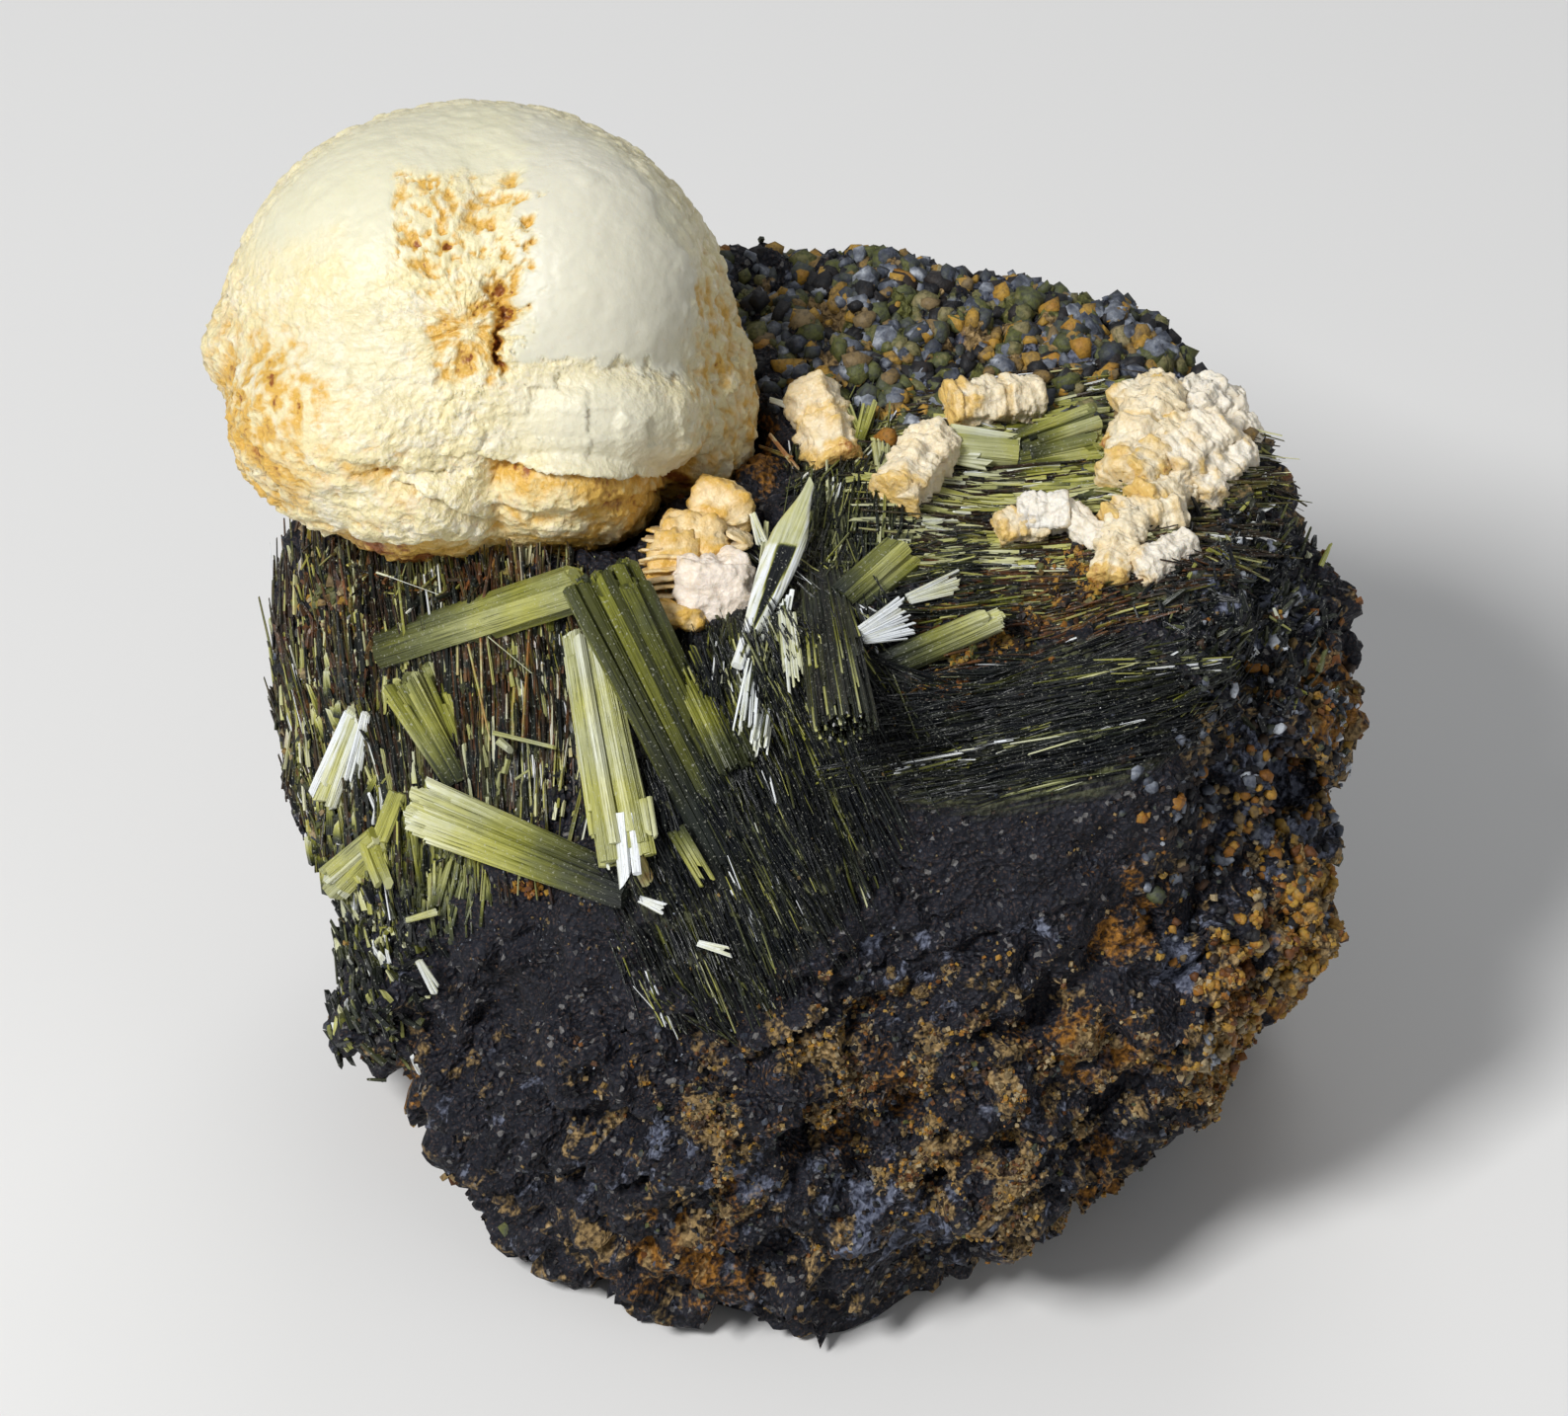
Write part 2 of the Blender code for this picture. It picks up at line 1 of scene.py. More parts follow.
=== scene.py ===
"""The looks of a prehnite specimen: a milky ball on a dark block of fibrous rock.

Places are given as the display view shows them, (across, up, toward) in millimetres round the
middle of that view, and View turns them into points of the specimen.
"""

import logging
import math
from dataclasses import dataclass
from enum import Enum
from itertools import product
from typing import Any, Iterable, Sequence

import bmesh
import bpy
import numpy as np
from mathutils import Matrix, Vector
from mathutils.bvhtree import BVHTree


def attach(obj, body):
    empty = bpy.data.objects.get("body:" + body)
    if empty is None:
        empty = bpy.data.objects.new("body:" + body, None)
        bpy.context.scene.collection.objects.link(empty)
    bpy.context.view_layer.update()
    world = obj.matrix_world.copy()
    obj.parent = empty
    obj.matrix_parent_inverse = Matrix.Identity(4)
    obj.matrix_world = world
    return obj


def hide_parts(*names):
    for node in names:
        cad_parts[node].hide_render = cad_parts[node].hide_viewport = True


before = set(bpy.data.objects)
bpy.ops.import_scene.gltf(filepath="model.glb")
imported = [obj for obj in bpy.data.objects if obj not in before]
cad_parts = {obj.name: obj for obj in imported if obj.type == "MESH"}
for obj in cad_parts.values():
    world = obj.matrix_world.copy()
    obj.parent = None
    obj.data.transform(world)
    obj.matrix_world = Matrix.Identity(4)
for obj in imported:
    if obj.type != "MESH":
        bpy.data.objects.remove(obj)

Array = np.ndarray
Colour = tuple[float, float, float]
Material = bpy.types.Material
Object = bpy.types.Object
MM = 0.001
FRAME_WIDTH = 1588
PIXEL = 0.04  # millimetres per picture point in the middle of the view
SENSOR = 36.0
ROOT = "root"
BURIED = 0.16  # share of a crystal's length that lies in the rock
CROWDED = 0.12  # how deep in a crystal a spot may lie and still carry needles and grains
REST_CLEAR = 0.9  # millimetres above the rest face that stay free of needles and grains
HELD_CLEAR = (0.4, 0.55, 0.7, 0.85, 1.0)  # shares of a crystal's length tested against the rock
FELT_EDGE = 0.12  # the cover of a patch below which no needle grows
GRAIN_EDGE = 0.06  # the cover of a patch below which no grain sits
SPRAY_SEED = 100
BARREL_SEED = 60
PLATE_SEED = 900
LOG = logging.getLogger("prehnite")


class View:
    """The display view, which looks down on the front of the specimen."""

    rise = math.radians(40.0)
    distance = 260.0
    middle = np.array((-0.325, -0.935, 19.2))
    axes = np.array((
        (1.0, 0.0, 0.0),
        (0.0, math.sin(rise), math.cos(rise)),
        (0.0, -math.cos(rise), math.sin(rise)),
    ))

    @classmethod
    def to_object(cls, places: Array) -> Array:
        """Points of the specimen in metres. Each place is the middle plus its parts along the axes."""
        return (cls.middle + np.asarray(places) @ cls.axes) * MM

    @classmethod
    def from_object(cls, points: Array) -> Array:
        """Places in the view in millimetres, the reverse of to_object."""
        return (np.asarray(points) / MM - cls.middle) @ cls.axes.T

    @classmethod
    def sighted(cls, across: float, up: float, toward: float) -> Array:
        """The place at this depth that is seen at (across, up): nearer places shrink together."""
        shrink = 1.0 - toward / cls.distance
        return np.array((across * shrink, up * shrink, toward))


class Noise:
    """Gradient noise and cell noise, worked out for whole arrays of places."""

    def __init__(self, seed: int) -> None:
        """Draws the shuffle, the gradients and the cell offsets.

        Args:
            seed: the seed of the random numbers.
        """
        draw = np.random.default_rng(seed)
        self.shuffle = draw.permutation(256)
        arrows = draw.normal(size=(256, 3))
        self.arrows = arrows / np.linalg.norm(arrows, axis=1)[:, None]
        self.offsets = draw.random((256, 3))

    def pick(self, cell: Array) -> Array:
        """A number for each cell, looked up three times over.

        Args:
            cell: whole numbers, three for each cell.
        Returns:
            A number from 0 to 255 for each cell.
        """
        first = self.shuffle[cell[..., 0] & 255]
        second = self.shuffle[(first + cell[..., 1]) & 255]
        return self.shuffle[(second + cell[..., 2]) & 255]

    def wave(self, places: Array) -> Array:
        """Gradient noise: each corner's arrow times the way to it, eased together.

        Args:
            places: the places, in units of one cell.
        Returns:
            A number of about -1 to 1 for each place.
        """
        base = np.floor(places).astype(np.int64)
        part = places - base
        ease = part * part * part * (part * (part * 6.0 - 15.0) + 10.0)
        total = np.zeros(len(places))
        for corner in product((0, 1), repeat=3):
            step = np.array(corner)
            arrow = self.arrows[self.pick(base + step)]
            share = np.where(step == 1, ease, 1.0 - ease).prod(axis=1)
            total += share * ((part - step) * arrow).sum(axis=1)
        return total * 1.6

    def fractal(self, places: Array, octaves: int = 4, gain: float = 0.5) -> Array:
        """A sum of waves, each twice as fine as the one before and lower by the gain.

        Args:
            places: the places, in units of the widest wave's cell.
            octaves: how many waves there are.
            gain: each wave's height over that of the one before.
        Returns:
            The sum at each place.
        """
        total = np.zeros(len(places))
        height = 1.0
        for octave in range(octaves):
            total += height * self.wave(places * 2.0**octave + 17.3 * octave)
            height *= gain
        return total

    def ridged(self, places: Array, octaves: int = 4, gain: float = 0.5) -> Array:
        """Sharp crests where a wave crosses nought: one less about twice its size, summed as octaves.

        Args:
            places: the places, in units of the widest wave's cell.
            octaves: how many waves there are.
            gain: each wave's height over that of the one before.
        Returns:
            The sum at each place.
        """
        total = np.zeros(len(places))
        height = 1.0
        for octave in range(octaves):
            total += height * (1.0 - 2.2 * np.abs(self.wave(places * 2.0**octave + 9.1 * octave)))
            height *= gain
        return total

    def cells(self, places: Array) -> tuple[Array, Array, Array]:
        """Cell noise.

        Args:
            places: the places, in units of one cell.
        Returns:
            The distance to the nearest seed, the distance to the next one less the nearest, and a
            number from 0 to 1 for the nearest cell.
        """
        base = np.floor(places).astype(np.int64)
        near = np.full(len(places), 9.0)
        after = np.full(len(places), 9.0)
        tone = np.zeros(len(places))
        for step in product((-1, 0, 1), repeat=3):
            cell = base + np.array(step)
            number = self.pick(cell)
            gap = np.linalg.norm(cell + self.offsets[number] - places, axis=1)
            closer = gap < near
            after = np.where(closer, near, np.minimum(after, gap))
            tone = np.where(closer, number / 255.0, tone)
            near = np.where(closer, gap, near)
        return near, after - near, tone


def eased(value: Array, low: float, high: float) -> Array:
    """A smooth step from 0 at low to 1 at high."""
    share = np.clip((value - low) / (high - low), 0.0, 1.0)
    return share * share * (3.0 - 2.0 * share)


def unit(vectors: Array) -> Array:
    """The vectors at length one."""
    return vectors / np.maximum(np.linalg.norm(vectors, axis=-1, keepdims=True), 1e-9)


def sideways(way: Array) -> Array:
    """The direction at right angles to a way and to the line of sight."""
    return unit(np.cross(way, np.array((0.0, 0.0, 1.0))))


def sweep(levels: Array, columns: int) -> tuple[Array, Array]:
    """A grid of levels down its rows and of one full turn along its columns.

    Args:
        levels: one value for each row.
        columns: how many columns share the turn.
    Returns:
        The level and the turn in radians at each place of the grid.
    """
    turn = np.arange(columns) * 2.0 * math.pi / columns
    return tuple(np.meshgrid(levels, turn, indexing="ij"))


@dataclass(frozen=True)
class Patch:
    """A soft oval patch of the view, with its middle, half sizes and turn in degrees."""

    across: float
    up: float
    half_across: float
    half_up: float
    turn: float = 0.0
    strength: float = 1.0

    def cover(self, places: Array) -> Array:
        """How much the patch covers each place: a bell of the distance in half sizes.

        Args:
            places: the places in the view.
        Returns:
            A cover from 0 to the patch's strength for each place.
        """
        turn = math.radians(self.turn)
        off = places[:, :2] - (self.across, self.up)
        along = off[:, 0] * math.cos(turn) + off[:, 1] * math.sin(turn)
        side = off[:, 1] * math.cos(turn) - off[:, 0] * math.sin(turn)
        size = (along / self.half_across) ** 2 + (side / self.half_up) ** 2
        return self.strength * np.exp(-(size**1.5))


def patches(*rows: Sequence[float]) -> tuple[Patch, ...]:
    """The patches that these rows of numbers describe."""
    return tuple(Patch(*row) for row in rows)


def covered(places: Array, patches: Iterable[Patch]) -> Array:
    """The joint cover of several patches: one less the product of what each leaves bare.

    Args:
        places: the places in the view.
        patches: the patches.
    Returns:
        A cover from 0 to 1 for each place.
    """
    bare = np.ones(len(places))
    for patch in patches:
        bare *= 1.0 - patch.cover(places)
    return 1.0 - bare


@dataclass
class Surface:
    """A mesh in the making: places in the view, faces as corner numbers and values at the places."""

    places: Array
    corners: Array
    sizes: Array
    values: dict[str, Array]
    uv: Array | None = None

    @staticmethod
    def grid(places: Array, values: dict[str, Array]) -> "Surface":
        """A closed sheet of quads over rows and columns of places.

        Args:
            places: an array of rows, columns and three numbers; the first and last rows are poles
                whose places are all the same.
            values: arrays of rows and columns to keep at the places.
        Returns:
            The sheet, whose last column joins the first and whose poles are closed with fans.
        """
        rows, columns = places.shape[:2]
        inner = rows - 2
        pick = np.concatenate(((0,), np.arange(columns, columns * (rows - 1)), (rows * columns - 1,)))
        row, column = np.meshgrid(np.arange(inner - 1), np.arange(columns), indexing="ij")
        here = 1 + row * columns + column
        beside = 1 + row * columns + (column + 1) % columns
        quads = np.stack((here, beside, beside + columns, here + columns), axis=-1).reshape(-1, 4)
        around = np.arange(columns)
        after = (around + 1) % columns
        top = np.stack((np.zeros(columns, int), 1 + after, 1 + around), axis=1)
        pole = 1 + inner * columns
        last = pole - columns
        bottom = np.stack((np.full(columns, pole), last + around, last + after), axis=1)
        corners = np.concatenate((quads.reshape(-1), top.reshape(-1), bottom.reshape(-1)))
        sizes = np.concatenate((np.full(len(quads), 4), np.full(2 * columns, 3)))
        kept = {name: value.reshape(-1)[pick] for name, value in values.items()}
        return Surface(places.reshape(-1, 3)[pick], corners, sizes, kept)

    @staticmethod
    def joined(parts: Sequence["Surface"]) -> "Surface":
        """One surface of several, with the corner numbers moved on past the earlier places.

        Args:
            parts: surfaces that keep the same values.
        Returns:
            All of them as one.
        """
        starts = np.cumsum([0] + [len(part.places) for part in parts[:-1]])
        corners = [part.corners + start for part, start in zip(parts, starts)]
        names = parts[0].values
        has_uv = parts[0].uv is not None
        return Surface(
            np.concatenate([part.places for part in parts]),
            np.concatenate(corners),
            np.concatenate([part.sizes for part in parts]),
            {name: np.concatenate([part.values[name] for part in parts]) for name in names},
            np.concatenate([part.uv for part in parts]) if has_uv else None,
        )

    def turned_out(self) -> "Surface":
        """The surface with every face's corners in the reverse order."""
        starts = np.repeat(np.cumsum(self.sizes) - self.sizes, self.sizes)
        within = np.arange(len(self.corners)) - starts
        order = starts + np.repeat(self.sizes, self.sizes) - 1 - within
        uv = None if self.uv is None else self.uv[order]
        return Surface(self.places, self.corners[order], self.sizes, self.values, uv)

    def piece(
        self, name: str, finish: Material, smooth: bool, slot: str, node: str = ""
    ) -> Object:
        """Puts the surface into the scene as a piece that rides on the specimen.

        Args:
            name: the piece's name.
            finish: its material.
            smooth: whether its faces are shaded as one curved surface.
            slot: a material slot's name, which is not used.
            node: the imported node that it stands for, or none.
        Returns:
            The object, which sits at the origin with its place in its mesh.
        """
        mesh = bpy.data.meshes.new(name)
        mesh.vertices.add(len(self.places))
        points = View.to_object(self.places)
        points[:, 2] = np.maximum(points[:, 2], 0.0)  # nothing stands below the flat rest face
        mesh.vertices.foreach_set("co", points.astype(np.float32).reshape(-1))
        mesh.loops.add(len(self.corners))
        mesh.loops.foreach_set("vertex_index", self.corners.astype(np.int32))
        mesh.polygons.add(len(self.sizes))
        starts = (np.cumsum(self.sizes) - self.sizes).astype(np.int32)
        mesh.polygons.foreach_set("loop_start", starts)
        mesh.polygons.foreach_set("use_smooth", np.full(len(self.sizes), smooth))
        for key, value in self.values.items():
            store = mesh.attributes.new(key, "FLOAT", "POINT")
            store.data.foreach_set("value", value.astype(np.float32))
        if self.uv is not None:
            layer = mesh.uv_layers.new(name="along")
            layer.data.foreach_set("uv", self.uv.astype(np.float32).reshape(-1))
        mesh.update(calc_edges=True)
        mesh.validate()
        obj = bpy.data.objects.new(name, mesh)
        bpy.context.scene.collection.objects.link(obj)
        mesh.materials.append(finish)
        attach(obj, ROOT)
        if node:
            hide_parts(node)
        LOG.info("%s: %d triangles", name, int((self.sizes - 2).sum()))
        return obj


class Graph:
    """The nodes of one material."""

    def __init__(self, name: str) -> None:
        """Starts a material with an empty node tree and its output."""
        self.material = bpy.data.materials.new(name)
        self.material.use_nodes = True
        self.tree = self.material.node_tree
        self.tree.nodes.clear()

    def node(
        self, kind: str, settings: dict[str, Any], inputs: dict[str, Any], output: str = ""
    ) -> "Value":
        """Adds a node.

        Args:
            kind: the node's type.
            settings: what is set on the node first, and a ramp's stops as (place, colour) pairs.
            inputs: values or links by the socket's name or identifier.
            output: the name or identifier of the output that is wanted, or the first.
        Returns:
            That output.
        """
        made = self.tree.nodes.new(kind)
        for key, setting in settings.items():
            if key == "stops":
                ramp = made.color_ramp
                while len(ramp.elements) < len(setting):
                    ramp.elements.new(1.0)
                for element, (place, colour) in zip(ramp.elements, setting):
                    element.position = place
                    element.color = (*colour, 1.0)
            else:
                setattr(made, key, setting)
        for key, given in inputs.items():
            socket = next(s for s in made.inputs if key in (s.identifier, s.name) and s.enabled)
            if isinstance(given, Value):
                self.tree.links.new(given.socket, socket)
            elif isinstance(given, tuple) and len(given) == 3 and socket.type == "RGBA":
                socket.default_value = (*given, 1.0)
            else:
                socket.default_value = given
        found = [s for s in made.outputs if output in (s.identifier, s.name) and s.enabled]
        return Value(self, found[0] if found else made.outputs[0]) if made.outputs else None

    def math(self, operation: str, first: Any, second: Any) -> "Value":
        """A Math node on two terms, each a value or a number."""
        inputs = {"Value": first, "Value_001": second}
        return self.node("ShaderNodeMath", {"operation": operation}, inputs)

    def held(self, name: str) -> "Value":
        """The value that the piece's mesh keeps under this name."""
        return self.node("ShaderNodeAttribute", {"attribute_name": name}, {}, "Fac")

    def place(self) -> "Value":
        """The place on the specimen, in metres."""
        return self.node("ShaderNodeTexCoord", {}, {}, "Object")

    def speckle(self, size_mm: float, detail: float = 3.0) -> "Value":
        """Soft noise from 0 to 1 with features of about this size."""
        inputs = {"Scale": 1.0 / (size_mm * MM), "Detail": detail, "Vector": self.place()}
        return self.node("ShaderNodeTexNoise", {}, inputs, "Fac")

    def streaks(self, where: "Value") -> "Value":
        """Soft noise from 0 to 1 at coordinates that are stretched already."""
        inputs = {"Vector": where, "Scale": 1.0, "Detail": 3.0}
        return self.node("ShaderNodeTexNoise", {}, inputs, "Fac")

    def ramp(self, stops: tuple[tuple[float, Colour], ...], tone: "Value") -> "Value":
        """The colour that the stops give to the tone."""
        return self.node("ShaderNodeValToRGB", {"stops": stops}, {"Fac": tone}, "Color")

    def chips(self, size_mm: float, output: str = "Distance") -> "Value":
        """Cells of about this size: the distance to a cell's seed, or its random colour."""
        inputs = {"Scale": 1.0 / (size_mm * MM), "Vector": self.place()}
        return self.node("ShaderNodeTexVoronoi", {}, inputs, output)

    def blend(self, share: Any, first: Any, second: Any) -> "Value":
        """The first colour turned into the second by the share."""
        settings = {"data_type": "RGBA", "clamp_factor": True}
        inputs = {"Factor_Float": share, "A_Color": first, "B_Color": second}
        return self.node("ShaderNodeMix", settings, inputs, "Result_Color")

    def bump(self, height: "Value", deep_mm: float, strength: float = 1.0) -> "Value":
        """A normal that stands for relief of this depth."""
        inputs = {"Strength": strength, "Distance": deep_mm * MM, "Height": height}
        return self.node("ShaderNodeBump", {}, inputs, "Normal")

    def finish(self, **sockets: Any) -> Material:
        """Ends the material in a Principled shader.

        Args:
            sockets: what its sockets get, with underscores for the spaces in their names.
        Returns:
            The material.
        """
        inputs = {key.replace("_", " "): given for key, given in sockets.items()}
        shader = self.node("ShaderNodeBsdfPrincipled", {}, inputs, "BSDF")
        self.node("ShaderNodeOutputMaterial", {}, {"Surface": shader})
        return self.material


class Value:
    """A socket of a material, on which sums are written as plain expressions."""

    def __init__(self, graph: Graph, socket: bpy.types.NodeSocket) -> None:
        """Keeps the socket and the graph that it belongs to."""
        self.graph = graph
        self.socket = socket

    def __add__(self, other: Any) -> "Value":
        """This plus the other."""
        return self.graph.math("ADD", self, other)

    __radd__ = __add__

    def __sub__(self, other: Any) -> "Value":
        """This less the other."""
        return self.graph.math("SUBTRACT", self, other)

    def __rsub__(self, other: Any) -> "Value":
        """The other less this."""
        return self.graph.math("SUBTRACT", other, self)

    def __mul__(self, other: Any) -> "Value":
        """This times the other."""
        return self.graph.math("MULTIPLY", self, other)

    __rmul__ = __mul__

    def over(self, low: float, high: float) -> "Value":
        """From 0 at low to 1 at high, and level outside."""
        inputs = {"Value": self, "From Min": low, "From Max": high}
        return self.graph.node("ShaderNodeMapRange", {"clamp": True}, inputs, "Result")


class Mineral(Enum):
    """What a crystal looks like along its length, as places on the crystal ramp."""

    BLACK = "black"
    SPECKLED = "speckled"
    OLIVE = "olive"
    DEEP_OLIVE = "deep olive"
    YELLOW = "yellow"
    PALE = "pale"
    SILVER = "silver"
    MILKY = "milky"
    FELT = "felt"
    DARK_FELT = "dark felt"
    RUSTY_FELT = "rusty felt"

    def tones(self, along: Array, draw: Array) -> Array:
        """Places on the crystal ramp, from 0 for black to 1 for silver.

        Args:
            along: 0 at a crystal's root and 1 at its tip.
            draw: a random number from 0 to 1 for the crystal.
        Returns:
            A tone for each place along each crystal.
        """
        if self is Mineral.BLACK:
            return 0.02 + 0.16 * draw + np.where(draw > 0.9, 0.3 + 0.4 * along, 0.0)
        if self is Mineral.SPECKLED:
            return np.where(draw > 0.84, 0.2 + 0.6 * draw * along, 0.3 * draw)
        if self is Mineral.OLIVE:
            return 0.17 + 0.24 * draw + 0.34 * eased(along, 0.0, 0.5)
        if self is Mineral.DEEP_OLIVE:
            return 0.02 + 0.26 * draw**1.6 + 0.29 * eased(along, 0.28, 0.66)
        if self is Mineral.YELLOW:
            return 0.62 + 0.22 * draw + 0.06 * along
        if self is Mineral.PALE:
            return 0.12 * draw + 0.5 * eased(along, 0.05, 0.22) + 0.29 * eased(along, 0.5, 1.0)
        if self is Mineral.SILVER:
            return np.where(draw > 0.24, 0.9 + 0.1 * draw, 0.25 + 0.5 * draw)
        if self is Mineral.MILKY:
            return 0.74 + 0.26 * draw
        if self is Mineral.FELT:
            return np.clip(draw**3.2 * 1.25 + 0.05 * along, 0.0, 1.0)
        if self is Mineral.RUSTY_FELT:
            return np.clip(draw**2.6 * 0.95, 0.0, 1.0)
        return np.clip(draw**5.5 * 1.05, 0.0, 1.0)


@dataclass(frozen=True)
class CrystalFinish:
    """Glassy striated prisms, from black through olive and yellow-green to silver."""

    name: str = "green_crystal"
    roughness: float = 0.24
    stops: tuple[tuple[float, Colour], ...] = (
        (0.0, (0.004, 0.005, 0.007)),
        (0.2, (0.016, 0.019, 0.011)),
        (0.4, (0.072, 0.077, 0.013)),
        (0.56, (0.19, 0.195, 0.026)),
        (0.74, (0.45, 0.44, 0.11)),
        (0.9, (0.64, 0.64, 0.4)),
        (1.0, (0.8, 0.825, 0.845)),
    )
    # The same from black to silver through grey-green, for the cooler streaks
    cool_stops: tuple[tuple[float, Colour], ...] = (
        (0.0, (0.004, 0.006, 0.01)),
        (0.4, (0.05, 0.062, 0.048)),
        (0.6, (0.15, 0.17, 0.12)),
        (0.8, (0.4, 0.43, 0.34)),
        (1.0, (0.78, 0.83, 0.88)),
    )
    rust: Colour = (0.3, 0.095, 0.014)
    # Painted shade: the near black laid in the grooves between the fine streaks
    groove: Colour = (0.012, 0.014, 0.008)
    dust: Colour = (0.5, 0.5, 0.42)

    def material(self) -> Material:
        """The tone picks the colour, with fine streaks along the crystal, painted shade in their
        grooves and rust where it is held.
        """
        graph = Graph(self.name)
        uv = graph.node("ShaderNodeUVMap", {"uv_map": "along"}, {}, "UV")
        streaks = graph.streaks(uv)
        tone = graph.held("tone") + (streaks - 0.5) * 0.34 + (graph.speckle(0.5) - 0.5) * 0.1
        warm = graph.ramp(self.stops, tone)
        cool = graph.ramp(self.cool_stops, tone)
        colour = graph.blend(graph.speckle(2.6).over(0.42, 0.62) * 0.45, warm, cool)
        rust = graph.held("rust") * graph.speckle(0.5).over(0.35, 0.62)
        colour = graph.blend(rust, colour, self.rust)
        # Painted shade where the streaks sink, which are the grooves of the relief below
        colour = graph.blend((0.4 - streaks).over(0.0, 0.07) * 0.6, colour, self.groove)
        dust = graph.speckle(0.1, 2.0).over(0.63, 0.7) * 0.5
        colour = graph.blend(dust, colour, self.dust)
        rough = self.roughness + streaks * 0.16 + rust * 0.3
        relief = graph.bump(streaks, 0.09, 1.0)
        return graph.finish(Base_Color=colour, Roughness=rough, Normal=relief, Specular_IOR_Level=0.36)


@dataclass(frozen=True)
class RockFinish:
    """Fine black rock with bluish, olive, rusty and golden granular patches, and painted glints."""

    name: str = "dark_rock"
    black: tuple[Colour, Colour] = ((0.004, 0.005, 0.009), (0.016, 0.017, 0.025))
    grey: Colour = (0.05, 0.045, 0.046)
    brown: Colour = (0.07, 0.044, 0.036)
    # Painted glints: the pale colour of the few chips that stand for highlights
    glint: Colour = (0.26, 0.25, 0.24)
    fibres: tuple[Colour, Colour] = ((0.007, 0.008, 0.009), (0.105, 0.11, 0.05))
    # The value that each tint follows, with the tint's dark and light colour
    tints: tuple[tuple[str, Colour, Colour], ...] = (
        ("blue", (0.016, 0.02, 0.042), (0.19, 0.21, 0.28)),
        ("olive", (0.024, 0.028, 0.008), (0.16, 0.16, 0.045)),
        ("rust", (0.03, 0.012, 0.006), (0.36, 0.16, 0.024)),
        ("gold", (0.034, 0.02, 0.009), (0.38, 0.255, 0.11)),
    )

    def material(self) -> Material:
        """Black, then each patch where its value and some fine noise together are high."""
        graph = Graph(self.name)
        fine = graph.speckle(0.22, 4.0)
        middling = graph.speckle(0.9, 4.0)
        chip = graph.chips(0.2, "Color")
        glint = graph.node("ShaderNodeSeparateColor", {}, {"Color": chip}, "Red")
        side, along = graph.held("side"), graph.held("along")
        run = graph.node("ShaderNodeCombineXYZ", {}, {"X": side * 5.0, "Y": along * 0.5})
        streaks = graph.streaks(run)
        fibrous = graph.held("fibrous")
        black = graph.blend(middling.over(0.3, 0.7), *self.black)
        colour = graph.blend(fine.over(0.6, 0.72) * 0.6, black, self.grey)
        specks = graph.speckle(0.11, 2.0)
        colour = graph.blend(specks.over(0.56, 0.68) * 0.7, colour, self.brown)
        # Painted glints: a few chips turn pale, standing for highlights on the rock
        colour = graph.blend(glint.over(0.97, 0.98) * 0.5, colour, self.glint)
        streaky = graph.blend(streaks.over(0.42, 0.62), *self.fibres)
        colour = graph.blend(fibrous.over(0.2, 0.7), colour, streaky)
        for name, dark, light in self.tints:
            tint = graph.blend(fine.over(0.38, 0.62) * 0.6 + glint * 0.4, dark, light)
            share = (graph.held(name) + (fine - 0.5) * 0.8 + (middling - 0.5) * 0.4).over(0.36, 0.6)
            colour = graph.blend(share * graph.held(name).over(0.04, 0.2), colour, tint)
        rough = 0.5 + fine * 0.3 - glint.over(0.8, 0.9) * 0.3
        height = fine * 0.5 + graph.chips(0.28) * 0.8 + middling * 0.4 + streaks * fibrous * 1.5
        relief = graph.bump(height, 0.3, 1.0)
        return graph.finish(Base_Color=colour, Roughness=rough, Normal=relief, Specular_IOR_Level=0.24)


@dataclass(frozen=True)
class CrumbFinish:
    """Loose-looking grains, from black through rust and gold to cream and bluish white, the last
    partly painted glints.
    """

    name: str = "grains"
    stops: tuple[tuple[float, Colour], ...] = (
        (0.0, (0.008, 0.009, 0.012)),
        (0.14, (0.036, 0.021, 0.012)),
        (0.3, (0.13, 0.045, 0.01)),
        (0.42, (0.29, 0.12, 0.016)),
        (0.5, (0.4, 0.235, 0.036)),
        (0.6, (0.165, 0.112, 0.048)),
        (0.74, (0.34, 0.262, 0.145)),
        (0.86, (0.086, 0.096, 0.024)),
        (0.94, (0.036, 0.044, 0.068)),
        # From 0.97 up the grains turn bluish white: pale grains, and painted glints as well
        (0.97, (0.18, 0.2, 0.24)),
        (1.0, (0.6, 0.64, 0.7)),
    )
    dirt: Colour = (0.022, 0.018, 0.015)

    def material(self) -> Material:
        """The tone picks the colour, with a little noise over each grain."""
        graph = Graph(self.name)
        fine = graph.speckle(0.15)
        tone = graph.held("tone") + (fine - 0.5) * 0.05 + (graph.speckle(0.45) - 0.5) * 0.12
        colour = graph.ramp(self.stops, tone)
        colour = graph.blend(fine.over(0.45, 0.75) * 0.6, colour, self.dirt)
        relief = graph.bump(fine, 0.06, 0.8)
        rough = 0.46 + fine * 0.3
        return graph.finish(Base_Color=colour, Roughness=rough, Normal=relief, Specular_IOR_Level=0.35)


